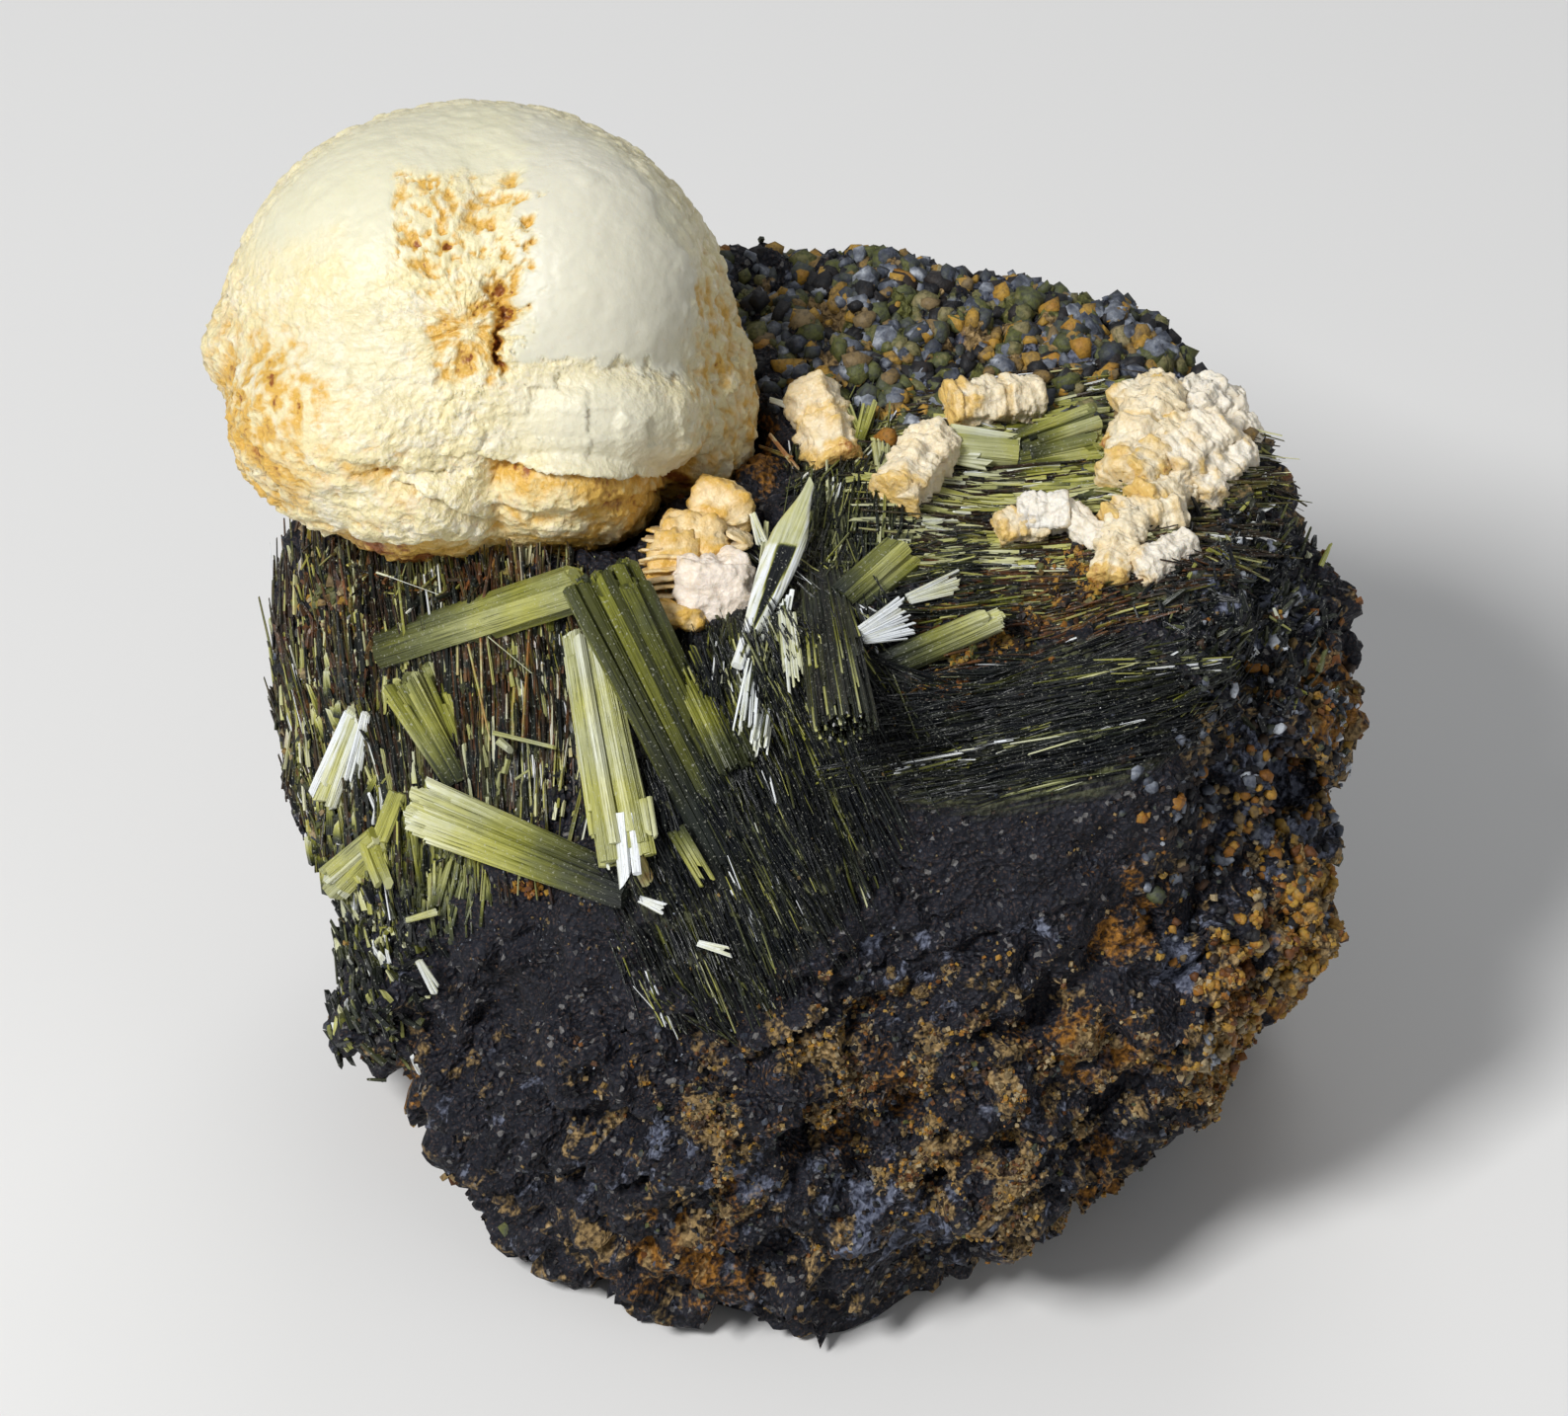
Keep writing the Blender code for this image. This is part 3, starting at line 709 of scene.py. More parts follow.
@dataclass(frozen=True)
class PrehniteFinish:
    """Milky translucent cream prehnite, stained ochre in its hollows, where on the ball's sugary grain
    it is painted shade.
    """

    name: str = "cream_prehnite"
    milk: Colour = (0.69, 0.66, 0.47)
    cream: Colour = (0.77, 0.67, 0.38)
    white: Colour = (0.66, 0.635, 0.52)
    ochre: Colour = (0.66, 0.4, 0.08)
    brown: Colour = (0.27, 0.085, 0.014)
    cloud: Colour = (0.7, 0.67, 0.5)
    sugar: Colour = (0.85, 0.8, 0.66)
    scatter: Colour = (1.0, 0.75, 0.45)

    def material(self) -> Material:
        """Milk where it is smooth, cream where it is rough, and ochre and brown by the stain."""
        graph = Graph(self.name)
        fine = graph.speckle(0.16)
        middling = graph.speckle(0.8, 4.0)
        broad = graph.speckle(3.0, 2.0)
        rough_here = graph.held("rough")
        stain = graph.held("stain")
        milk = graph.blend(broad.over(0.35, 0.65), self.milk, self.cloud)
        colour = graph.blend(rough_here.over(0.1, 0.7), milk, self.cream)
        pale = (middling + (fine - 0.5) * 0.7).over(0.44, 0.66) * rough_here * 0.72
        colour = graph.blend(pale, colour, self.sugar)
        colour = graph.blend(graph.held("white") * (0.7 + middling * 0.3), colour, self.white)
        yellow = (stain * 1.5 + (middling - 0.5) * 0.9 + (fine - 0.5) * 0.7).over(0.2, 0.92)
        colour = graph.blend(yellow, colour, self.ochre)
        deep = (stain + (fine - 0.5) * 0.5 + (middling - 0.5) * 0.5).over(0.76, 1.02)
        colour = graph.blend(deep, colour, self.brown)
        roughness = 0.4 - rough_here * 0.06 + fine * 0.16
        grain = graph.chips(0.34) * 0.8 + fine * 0.8
        relief = graph.bump(grain * (rough_here * 0.9 + 0.1), 0.11, 1.0)
        return graph.finish(
            Base_Color=colour,
            Roughness=roughness,
            Normal=relief,
            Subsurface_Weight=0.16,
            Subsurface_Radius=self.scatter,
            Subsurface_Scale=0.0008,
        )


@dataclass(frozen=True)
class FloorFinish:
    """The plain pale floor of the studio."""

    name: str = "studio_floor"
    dark: Colour = (0.74, 0.735, 0.725)
    light: Colour = (0.76, 0.755, 0.745)

    def material(self) -> Material:
        """A pale matt colour that is barely uneven."""
        graph = Graph(self.name)
        colour = graph.blend(graph.speckle(60.0, 2.0), self.dark, self.light)
        return graph.finish(Base_Color=colour, Roughness=0.9)


class Ground:
    """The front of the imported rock, on which crystals are set."""

    def __init__(self, node: Object) -> None:
        """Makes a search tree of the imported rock's mesh."""
        self.tree = BVHTree.FromObject(node, bpy.context.evaluated_depsgraph_get())

    def place(self, across: float, up: float, lift: float) -> Array:
        """The place on the rock that is seen at a spot of the view.

        Args:
            across: the spot's place across.
            up: the spot's place up.
            lift: how far the place is raised towards the viewer.
        Returns:
            The place.
        """
        eye, aim = View.to_object(np.array(((0.0, 0.0, View.distance), (across, up, 0.0))))
        way = Vector(aim - eye).normalized()
        point = self.tree.ray_cast(Vector(eye), way)[0] or self.tree.find_nearest(Vector(aim))[0]
        hit = View.from_object(np.array(point))
        return hit + unit(np.array((0.0, 0.0, View.distance)) - hit) * lift

    def span(
        self, root: Sequence[float], tip: Sequence[float], clear: float
    ) -> tuple[Array, Array]:
        """The ends of a straight crystal, raised at its tip until the rock doesn't bury it.

        Args:
            root: the lower end as (across, up, lift).
            tip: the upper end as (across, up, lift).
            clear: how far its middle line keeps from the rock.
        Returns:
            The places of both ends.
        """
        start = self.place(*root)
        end = self.place(*tip)
        for share in HELD_CLEAR:
            seen = [r + (t - r) * share for r, t in zip(root[:2], tip[:2])]
            rest = self.place(*seen, clear)
            sunk = rest[2] - (start[2] + (end[2] - start[2]) * share)
            if sunk > 0.0:
                end = View.sighted(*tip[:2], end[2] + sunk / share)
        return start, end


@dataclass
class Room:
    """The space that the crystals take, from which rock, felt and grains keep away."""

    starts: Array
    ends: Array
    radii: Array

    def taken(self, places: Array) -> Array:
        """How deep each place is in a crystal: one less its distance from the axis in radii.

        Args:
            places: the places in the view.
        Returns:
            From 1 on a crystal's axis to 0 outside all of them.
        """
        depth = np.zeros(len(places))
        for root, end, radius in zip(self.starts, self.ends, self.radii):
            start = root + (end - root) * BURIED
            way = end - start
            share = np.clip((places - start) @ way / (way @ way), 0.0, 1.0)
            gap = np.linalg.norm(places - start - share[:, None] * way, axis=1)
            depth = np.maximum(depth, 1.0 - gap / radius)
        return depth


@dataclass
class Prisms:
    """Many straight prisms at once, as arrays with one row for each prism."""

    start: Array
    end: Array
    width: Array
    thickness: Array
    roll: Array
    draw: Array
    sides: int = 4
    taper: float = 0.8
    slant: float = 0.0

    def surface(self, mineral: Mineral, rust: Array | float = 0.0) -> Surface:
        """The closed prisms.

        Each one carries an even polygon, scaled by its width and thickness, along the straight
        path from its start to its end; the last section is smaller by the taper and leans by the
        slant, and both ends are capped.

        Args:
            mineral: which tones the prisms take along their length.
            rust: how rusty each prism is.
        Returns:
            All the prisms as one surface with their tones and streak coordinates.
        """
        count = len(self.start)
        way = self.end - self.start
        length = np.linalg.norm(way, axis=1)
        along = way / length[:, None]
        aside = unit(np.cross(along, np.array((0.0, 0.0, 1.0)) + 1e-4))
        face = np.cross(along, aside)
        cosine, sine = np.cos(self.roll)[:, None], np.sin(self.roll)[:, None]
        aside, face = aside * cosine + face * sine, face * cosine - aside * sine
        sections = np.array((0.0, 0.5, 1.0))
        scales = np.array((1.0, 0.5 + 0.5 * max(self.taper, 0.8), self.taper))
        angle = (np.arange(self.sides) + 0.5) * 2.0 * math.pi / self.sides
        ring = np.stack((np.cos(angle), np.sin(angle)), axis=1) * 0.5
        lean = np.zeros((count, len(sections), self.sides))
        facing = self.slant * np.sin(self.draw * 71.0)
        tilted = self.slant * np.cos(self.draw * 53.0)
        lean[:, -1] = facing[:, None] * ring[:, 0] + tilted[:, None] * ring[:, 1]
        wide = ring[:, 0] * self.width[:, None]
        thick = ring[:, 1] * self.thickness[:, None]
        across = aside[:, None, None, :] * (wide[:, None, :] * scales[None, :, None])[..., None]
        deep = face[:, None, None, :] * (thick[:, None, :] * scales[None, :, None])[..., None]
        travel = sections[None, :, None] * length[:, None, None] + lean * self.width[:, None, None]
        on_axis = self.start[:, None, None, :] + along[:, None, None, :] * travel[..., None]
        places = (on_axis + across + deep).reshape(-1, 3)
        layer = len(sections) * self.sides
        around = np.arange(self.sides)
        beside = (around + 1) % self.sides
        quads = np.concatenate([
            np.stack((around, beside, beside + self.sides, around + self.sides), axis=1)
            + self.sides * step
            for step in range(len(sections) - 1)
        ])
        caps = np.stack((around[::-1], around + layer - self.sides))
        one = np.concatenate((quads.reshape(-1), caps.reshape(-1)))
        corners = (one[None, :] + layer * np.arange(count)[:, None]).reshape(-1)
        sizes = np.tile(np.concatenate((np.full(len(quads), 4), np.full(2, self.sides))), count)
        share = np.broadcast_to(sections[None, :, None], (count, len(sections), self.sides))
        draws = np.broadcast_to(self.draw[:, None, None], share.shape)
        tones = mineral.tones(share, draws).reshape(-1)
        rusts = np.broadcast_to(np.asarray(rust).reshape(-1, 1, 1), share.shape).reshape(-1)
        turn = np.stack((around, around + 1, around + 1, around), axis=1).reshape(-1)
        turn = np.concatenate((turn, turn, np.zeros(2 * self.sides)))
        climb = np.concatenate([np.tile((s, s, s + 1, s + 1), self.sides) for s in range(2)])
        climb = np.concatenate((climb, np.zeros(self.sides), np.full(self.sides, 2))) * 0.5
        streak_u = turn[None, :] * self.width[:, None] * 7.0 + self.draw[:, None] * 97.0
        streak_v = climb[None, :] * length[:, None] * 0.35
        uv = np.stack((streak_u, streak_v), axis=-1).reshape(-1, 2)
        return Surface(places, corners, sizes, {"tone": tones, "rust": rusts}, uv)


@dataclass
class MatrixRock:
    """The dark rock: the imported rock's shape with lumps, chips and fibrous ridges added."""

    voxel: float = 0.288
    smoothing: int = 5
    noise_seed: int = 5
    # Fibrous stretches: patch and heading of the fibres in degrees
    fibres: tuple[tuple[Patch, float], ...] = (
        (Patch(-14.5, -0.5, 6.0, 5.8), 88.0),
        (Patch(-1.2, -3.4, 4.6, 7.0, -20.0), -66.0),
        (Patch(9.0, -0.8, 6.0, 3.0, 8.0), 12.0),
        (Patch(10.6, 8.0, 7.6, 4.6), 4.0),
        (Patch(2.4, 7.4, 2.0, 3.6), 82.0),
    )
    blue: tuple[Patch, ...] = patches(
        (9.0, 15.4, 9.5, 3.0, -8.0, 0.62), (18.4, 4.2, 2.6, 4.0, 0.0, 0.6),
        (18.6, -1.6, 3.2, 2.6, 0.0, 0.62), (19.6, -5.8, 3.0, 2.4, 20.0, 0.85),
        (18.6, -9.8, 1.4, 1.6, 0.0, 0.8), (16.0, -9.8, 1.9, 1.6, 10.0, 0.8),
        (13.4, -1.0, 3.4, 2.0, 30.0, 0.45), (4.6, -9.6, 1.6, 1.4, 0.0, 0.8),
        (9.6, -8.8, 1.0, 1.2, 0.0, 0.75), (-5.0, -16.8, 1.4, 1.0, 0.0, 0.7),
        (-1.6, -18.3, 1.6, 0.9, -20.0, 0.75), (4.2, -20.4, 3.4, 1.6, -18.0, 0.85),
        (9.0, -21.2, 2.2, 2.4, 0.0, 0.6), (14.2, -13.6, 1.6, 1.2, 0.0, 0.55),
        (-17.6, -4.0, 2.6, 6.0, 0.0, 0.4),
    )
    olive: tuple[Patch, ...] = patches(
        (4.0, 16.0, 7.5, 2.8, -6.0, 0.62), (9.0, 9.4, 6.5, 3.4, 0.0, 0.45),
        (-17.0, 2.5, 3.2, 6.0, 0.0, 0.55), (-13.0, -4.6, 5.0, 3.4, 0.0, 0.4),
        (13.5, 15.5, 3.6, 2.0, 0.0, 0.5), (17.6, 10.8, 1.6, 3.0, 30.0, 0.5),
    )
    rust: tuple[Patch, ...] = patches(
        (10.4, 4.2, 3.0, 1.7, 20.0, 0.6), (6.8, 0.6, 2.8, 0.9, 18.0, 0.85),
        (12.2, 13.0, 2.4, 0.9, 0.0, 0.85), (6.4, 14.6, 3.0, 1.2, 0.0, 0.45),
        (19.4, -11.7, 5.2, 2.9, 57.0, 1.0), (13.0, -7.4, 2.4, 3.0, -20.0, 0.62),
        (21.6, 0.2, 1.8, 3.0, 0.0, 0.72), (12.2, -13.2, 3.0, 2.0, 0.0, 0.6),
        (12.4, -19.0, 1.2, 2.8, 0.0, 0.75), (3.0, -14.6, 6.0, 3.6, 10.0, 0.42),
        (-3.6, -19.8, 5.0, 1.6, 10.0, 0.5), (-4.0, -22.2, 4.0, 1.6, -10.0, 0.6),
        (-14.9, -15.4, 1.2, 2.2, 0.0, 0.6), (-16.6, 5.0, 1.8, 1.6, 0.0, 0.6),
        (-5.0, 4.4, 2.2, 1.4, 0.0, 0.7), (-1.2, 10.2, 1.2, 2.4, 0.0, 0.75),
    )
    gold: tuple[Patch, ...] = patches(
        (-2.9, -15.9, 1.2, 1.8, 14.0, 1.0), (1.2, -14.6, 2.0, 3.0, -14.0, 0.9),
        (-2.3, -13.4, 1.5, 0.8, 0.0, 0.8), (5.6, -11.4, 2.9, 1.1, 6.0, 0.95),
        (6.9, -14.6, 2.6, 1.8, -10.0, 1.0), (6.4, -18.2, 3.0, 1.7, -14.0, 0.9),
        (-2.4, -19.8, 2.4, 0.8, 24.0, 1.0), (-7.6, -20.6, 2.4, 0.8, -14.0, 0.6),
        (11.9, -13.3, 1.6, 1.2, 0.0, 0.9), (11.8, -16.2, 0.9, 2.0, -38.0, 1.0),
        (9.4, -20.4, 1.8, 2.4, 0.0, 0.6), (19.0, -11.2, 5.0, 3.0, 57.0, 0.95),
        (17.0, -14.0, 2.6, 1.8, 40.0, 1.0), (21.2, -7.8, 1.6, 2.2, 0.0, 0.9),
        (14.4, -6.4, 1.4, 1.2, 0.0, 0.6), (21.4, -1.2, 1.6, 2.2, 0.0, 0.75),
        (15.4, -0.6, 1.2, 1.6, 0.0, 0.5), (10.2, 4.3, 3.0, 1.3, 28.0, 1.0),
        (6.6, 1.6, 2.2, 0.6, 20.0, 0.8), (8.4, 14.9, 2.6, 1.0, 0.0, 0.85),
        (3.4, 15.8, 1.6, 0.8, 0.0, 0.8), (4.6, 17.2, 1.0, 0.6, 0.0, 0.8),
    )
    # Hollows, with their depth in millimetres as strength
    hollows: tuple[Patch, ...] = patches(
        (20.2, -2.9, 1.5, 1.2, 0.0, 1.5), (16.6, -7.0, 0.9, 3.2, -24.0, 1.0),
        (13.0, -15.4, 3.0, 0.6, 40.0, 1.1), (7.8, -17.4, 2.2, 0.6, 20.0, 1.0),
        (1.6, -17.2, 2.6, 0.7, -16.0, 1.1), (-6.6, -16.6, 3.0, 0.7, -14.0, 0.9),
        (9.4, -12.2, 2.2, 0.6, 24.0, 0.9), (3.4, -11.6, 1.6, 0.5, 30.0, 0.8),
        (12.4, -9.8, 1.5, 0.8, 70.0, 0.9), (-14.2, -12.0, 1.4, 0.8, 60.0, 0.8),
        (-1.4, -21.6, 2.4, 0.6, 8.0, 0.9), (18.2, 1.4, 1.2, 0.7, 20.0, 1.0),
        (-13.6, 4.6, 2.6, 0.9, 0.0, 0.9),
    )
    # Where the outline is drawn in towards the middle of the view, with millimetres as strength
    drawn_in: tuple[Patch, ...] = patches(
        (22.0, -15.0, 5.0, 4.6, 0.0, 2.7), (15.5, -20.5, 5.5, 4.0, 0.0, 2.2),
        (8.5, -24.0, 5.0, 3.0, 0.0, 2.0), (24.0, -7.0, 3.4, 4.0, 0.0, 1.1),
        (24.4, 1.0, 3.4, 5.0, 0.0, 0.9), (22.4, 8.6, 3.6, 4.2, 0.0, 1.7),
        (19.4, 14.4, 4.4, 3.4, 0.0, 1.7), (-20.4, -10.5, 3.4, 5.0, 0.0, 1.7),
        (-17.2, -15.6, 3.0, 2.6, 0.0, 1.2),
    )
    smooth_black: tuple[Patch, ...] = patches(
        (-7.4, -10.4, 6.4, 3.4, -8.0, 1.0), (8.6, -3.8, 5.6, 3.0, -10.0, 0.8),
    )
    # Stretches of rounded knobs, those of the back shelf first
    knobbly: tuple[Patch, ...] = patches(
        (8.0, 15.0, 9.0, 3.2, -8.0), (2.0, 16.4, 4.0, 2.4, 0.0),
        (19.2, -11.6, 5.6, 3.4, 57.0), (21.4, -0.6, 2.2, 4.4, 0.0),
        (19.4, -5.6, 2.6, 2.6, 0.0, 0.8),
    )

    def remeshed(self) -> bpy.types.Mesh:
        """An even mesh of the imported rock, with its flat facets softened."""
        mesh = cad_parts["matrix"].data.copy()
        work = bmesh.new()
        work.from_mesh(mesh)
        bmesh.ops.remove_doubles(work, verts=work.verts, dist=1e-7)
        work.to_mesh(mesh)
        work.free()
        carrier = bpy.data.objects.new("carrier", mesh)
        bpy.context.scene.collection.objects.link(carrier)
        even = carrier.modifiers.new("even", "REMESH")
        even.mode = "VOXEL"
        even.voxel_size = self.voxel * MM
        soft = carrier.modifiers.new("soft", "SMOOTH")
        soft.factor = 0.5
        soft.iterations = self.smoothing
        bpy.context.view_layer.update()
        graph = bpy.context.evaluated_depsgraph_get()
        made = bpy.data.meshes.new_from_object(carrier.evaluated_get(graph))
        bpy.data.objects.remove(carrier)
        return made

    @staticmethod
    def read(items: Any, key: str, width: int, kind: type) -> Array:
        """A value of all the mesh's items.

        Args:
            items: the mesh's vertices, loops or polygons.
            key: the value's name.
            width: how many numbers each item has.
            kind: the numbers' type.
        Returns:
            The numbers in one row.
        """
        row = np.empty(len(items) * width, kind)
        items.foreach_get(key, row)
        return row

    def drawn(self, places: Array) -> Array:
        """The places with the outline drawn in.

        Each one moves towards the middle of the view by the strongest of the patches on it. What
        it moves up the view is done level with the floor, over the sine of the view's rise.

        Args:
            places: the places on the rock.
        Returns:
            The moved places.
        """
        pull = np.max([patch.cover(places) for patch in self.drawn_in], axis=0)
        move = -unit(places[:, :2]) * pull[:, None]
        back = move[:, 1] / math.sin(View.rise)
        return places + np.stack((move[:, 0], move[:, 1], -back * math.cos(View.rise)), axis=1)

    def fibrous(self, places: Array, noise: Noise) -> dict[str, Array]:
        """Long ridges along the fibres.

        Args:
            places: the places on the rock.
            noise: the noise to draw them from.
        Returns:
            The height of the ridges, which is noise stretched along the heading, how fibrous
            each place is, and its distance across and along the fibres of its main stretch.
        """
        found = {name: np.zeros(len(places)) for name in ("height", "fibrous", "side", "along")}
        for patch, heading in self.fibres:
            turn = math.radians(heading)
            along = places[:, 0] * math.cos(turn) + places[:, 1] * math.sin(turn)
            side = places[:, 1] * math.cos(turn) - places[:, 0] * math.sin(turn)
            stretched = np.stack((along * 0.22, side * 1.7, places[:, 2] * 1.7), axis=1)
            edge = 0.55 * noise.fractal(places * 0.45 + 31.0, 3)
            cover = patch.cover(places)
            cover = np.clip(cover * (1.5 + edge) - 0.2 * (1.0 - cover) * (1.0 + edge), 0.0, 1.0)
            cover = cover * eased(places[:, 2], -10.0, -4.0)
            found["height"] += cover * noise.ridged(stretched, 3, 0.6)
            here = cover > found["fibrous"]
            found["side"] = np.where(here, side + places[:, 2] * 0.5, found["side"])
            found["along"] = np.where(here, along, found["along"])
            found["fibrous"] = np.maximum(found["fibrous"], cover)
        return found

    def ledges(self, places: Array, noise: Noise) -> Array:
        """Broken ledges across the lower face.

        A slow wave over the height picks a step number; within a step the rock swells slowly
        towards the viewer and then drops back at once, and noise bends and breaks the steps.

        Args:
            places: the places on the rock.
            noise: the noise to draw the steps from.
        Returns:
            The height of the ledges at each place.
        """
        bend = noise.fractal(places * 0.16, 3) * 1.5
        level = places[:, 1] * 0.3 - places[:, 0] * 0.08 + bend
        part = level - np.floor(level)
        swell = eased(part, 0.0, 0.14) * (1.0 - 0.9 * eased(part, 0.14, 1.0))
        broken = eased(noise.fractal(places * 0.3 + 6.0, 2), -0.35, 0.25)
        low = eased(-places[:, 1], 7.0, 10.5) + 0.6 * eased(places[:, 0], 14.0, 17.0)
        return (swell * broken - 0.4) * np.clip(low, 0.0, 1.0)

    def build(self, finish: Material, room: Room) -> tuple[Surface, Array]:
        """Builds the rock.

        Args:
            finish: the rock's material.
            room: the space that the crystals take.
        Returns:
            The rock's surface and the outward normals at its places.
        """
        mesh = self.remeshed()
        points = self.read(mesh.vertices, "co", 3, np.float32).reshape(-1, 3)
        normals = self.read(mesh.vertices, "normal", 3, np.float32).reshape(-1, 3)
        corners = self.read(mesh.loops, "vertex_index", 1, np.int32)
        sizes = self.read(mesh.polygons, "loop_total", 1, np.int32)
        bpy.data.meshes.remove(mesh)
        places = self.drawn(View.from_object(points.astype(float)))
        normals = normals.astype(float) @ View.axes.T
        noise = Noise(self.noise_seed)
        calm = covered(places, self.smooth_black)
        fibres = self.fibrous(places, noise)
        fibrous = fibres["fibrous"]
        lower = np.clip(eased(-places[:, 1], 7.0, 11.0) + eased(places[:, 0], 14.0, 17.0), 0.0, 1.0)
        lumps = noise.ridged(places * 0.34, 3, 0.55) * (0.3 + 0.22 * lower) - 0.12 * lower
        lumps += noise.fractal(places * 0.95, 3) * 0.2
        bent = 0.25 * noise.wave(places * 0.9)[:, None]
        _, edge, tone = noise.cells(places * 0.62 + bent)
        chips = (tone - 0.5) * (0.42 + 0.3 * lower) * eased(edge, 0.0, 0.22)
        chips -= 0.16 * (1.0 - eased(edge, 0.0, 0.12))
        small = noise.cells(places * 1.7)
        grit = (small[2] - 0.5) * 0.26 - 0.16 * (1.0 - eased(small[1], 0.0, 0.3))
        knobs = noise.cells(places * 0.95 + 9.0 + bent)
        dome = (1.0 - (knobs[0] / 0.75) ** 2) * (0.5 + knobs[2])
        height = (lumps + chips) * (1.0 - 0.6 * calm) * (1.0 - 0.5 * fibrous)
        height += grit * (1.0 - 0.5 * calm) * (1.0 - 0.8 * fibrous) + fibres["height"] * 0.15
        height += self.ledges(places, noise) * 1.15
        height -= sum(patch.cover(places) for patch in self.hollows) * (1.0 + 0.3 * lumps)
        knobbly = covered(places, self.knobbly)
        height += knobbly * (dome - 0.5) * 0.55
        clumps = eased(noise.fractal(places * 0.62 + 3.0, 4, 0.6), -0.35, 0.25)
        back = eased(-places[:, 2], 0.0, 7.0)
        gold = covered(places, self.gold) * clumps * (1.0 - calm) * eased(height, -0.75, 0.05)
        height += gold * (0.24 + 0.16 * small[2])
        taken = room.taken(places)
        height = np.where(taken > 0.0, np.minimum(height, 0.1 - 0.9 * taken), height)
        height = np.clip(height, -1.7, 1.05) * eased(View.to_object(places)[:, 2] / MM, 0.0, 0.8)
        hollow = eased(-height, 0.0, 0.45)
        shade = 0.5 + 0.5 * noise.fractal(places * 0.35 + 4.0, 3)
        blue = covered(places, self.blue) * eased(noise.fractal(places * 0.8 + 12.0, 3), -0.5, 0.2)
        rust = covered(places, self.rust) * eased(noise.fractal(places * 0.6 + 21.0, 3), -0.5, 0.2)
        grain = np.where(places[:, 1] > 11.5, knobs[2], small[2])
        grains = lower * (1.0 - 0.7 * calm) * (1.0 - back)
        shelf = covered(places, self.knobbly[:2]) * (1.0 - back)
        blue_grain = (grain < 0.16) * (0.42 * grains + 0.7 * shelf)
        olive_grain = ((grain > 0.3) & (grain < 0.52)) * shelf * 0.75
        gold_grain = (grain > 0.8) * (0.5 * grains + 0.75 * shelf)
        values = {
            "blue": blue * (1.0 - gold) * (1.0 - gold_grain) * (1.0 - olive_grain) + blue_grain
            + 0.42 * back * eased(shade, 0.5, 0.9),
            "olive": covered(places, self.olive) * (1.0 - calm) * (1.0 - 0.8 * back) * 0.7
            + olive_grain,
            "rust": rust * (1.0 - 0.8 * calm) + 0.08 * hollow
            + 0.42 * back * eased(noise.fractal(places * 0.3, 3), 0.05, 0.6),
            "gold": gold + gold_grain
            + 0.4 * back * eased(noise.fractal(places * 0.36 + 8.0, 3), 0.25, 0.6),
        }
        values = {name: np.clip(value, 0.0, 1.0) for name, value in values.items()}
        values |= {name: fibres[name] for name in ("fibrous", "side", "along")}
        surface = Surface(places + normals * height[:, None], corners, sizes, values)
        surface.piece("rock", finish, True, "dark_rock", "matrix")
        return surface, normals


@dataclass
class Skin:
    """Spots all over the rock's surface, from which needles and grains are drawn."""

    spots: Array
    normals: Array
    values: dict[str, Array]

    @staticmethod
    def of(surface: Surface, normals: Array, room: Room) -> "Skin":
        """A spot for each corner place of the rock that is clear of crystals and the rest face.

        Args:
            surface: the rock's surface.
            normals: the outward normals at its places.
            room: the space that the crystals take.
        Returns:
            The spots with their normals and values.
        """
        high = View.to_object(surface.places)[:, 2] > REST_CLEAR * MM
        kept = high & (room.taken(surface.places) < CROWDED)
        values = {name: value[kept] for name, value in surface.values.items()}
        return Skin(surface.places[kept], normals[kept], values)

    def drawn(self, chance: Array, count: int, draw: np.random.Generator) -> Array:
        """Numbers of spots drawn with this chance."""
        weight = np.maximum(chance, 0.0)
        return draw.choice(len(self.spots), size=count, p=weight / weight.sum())


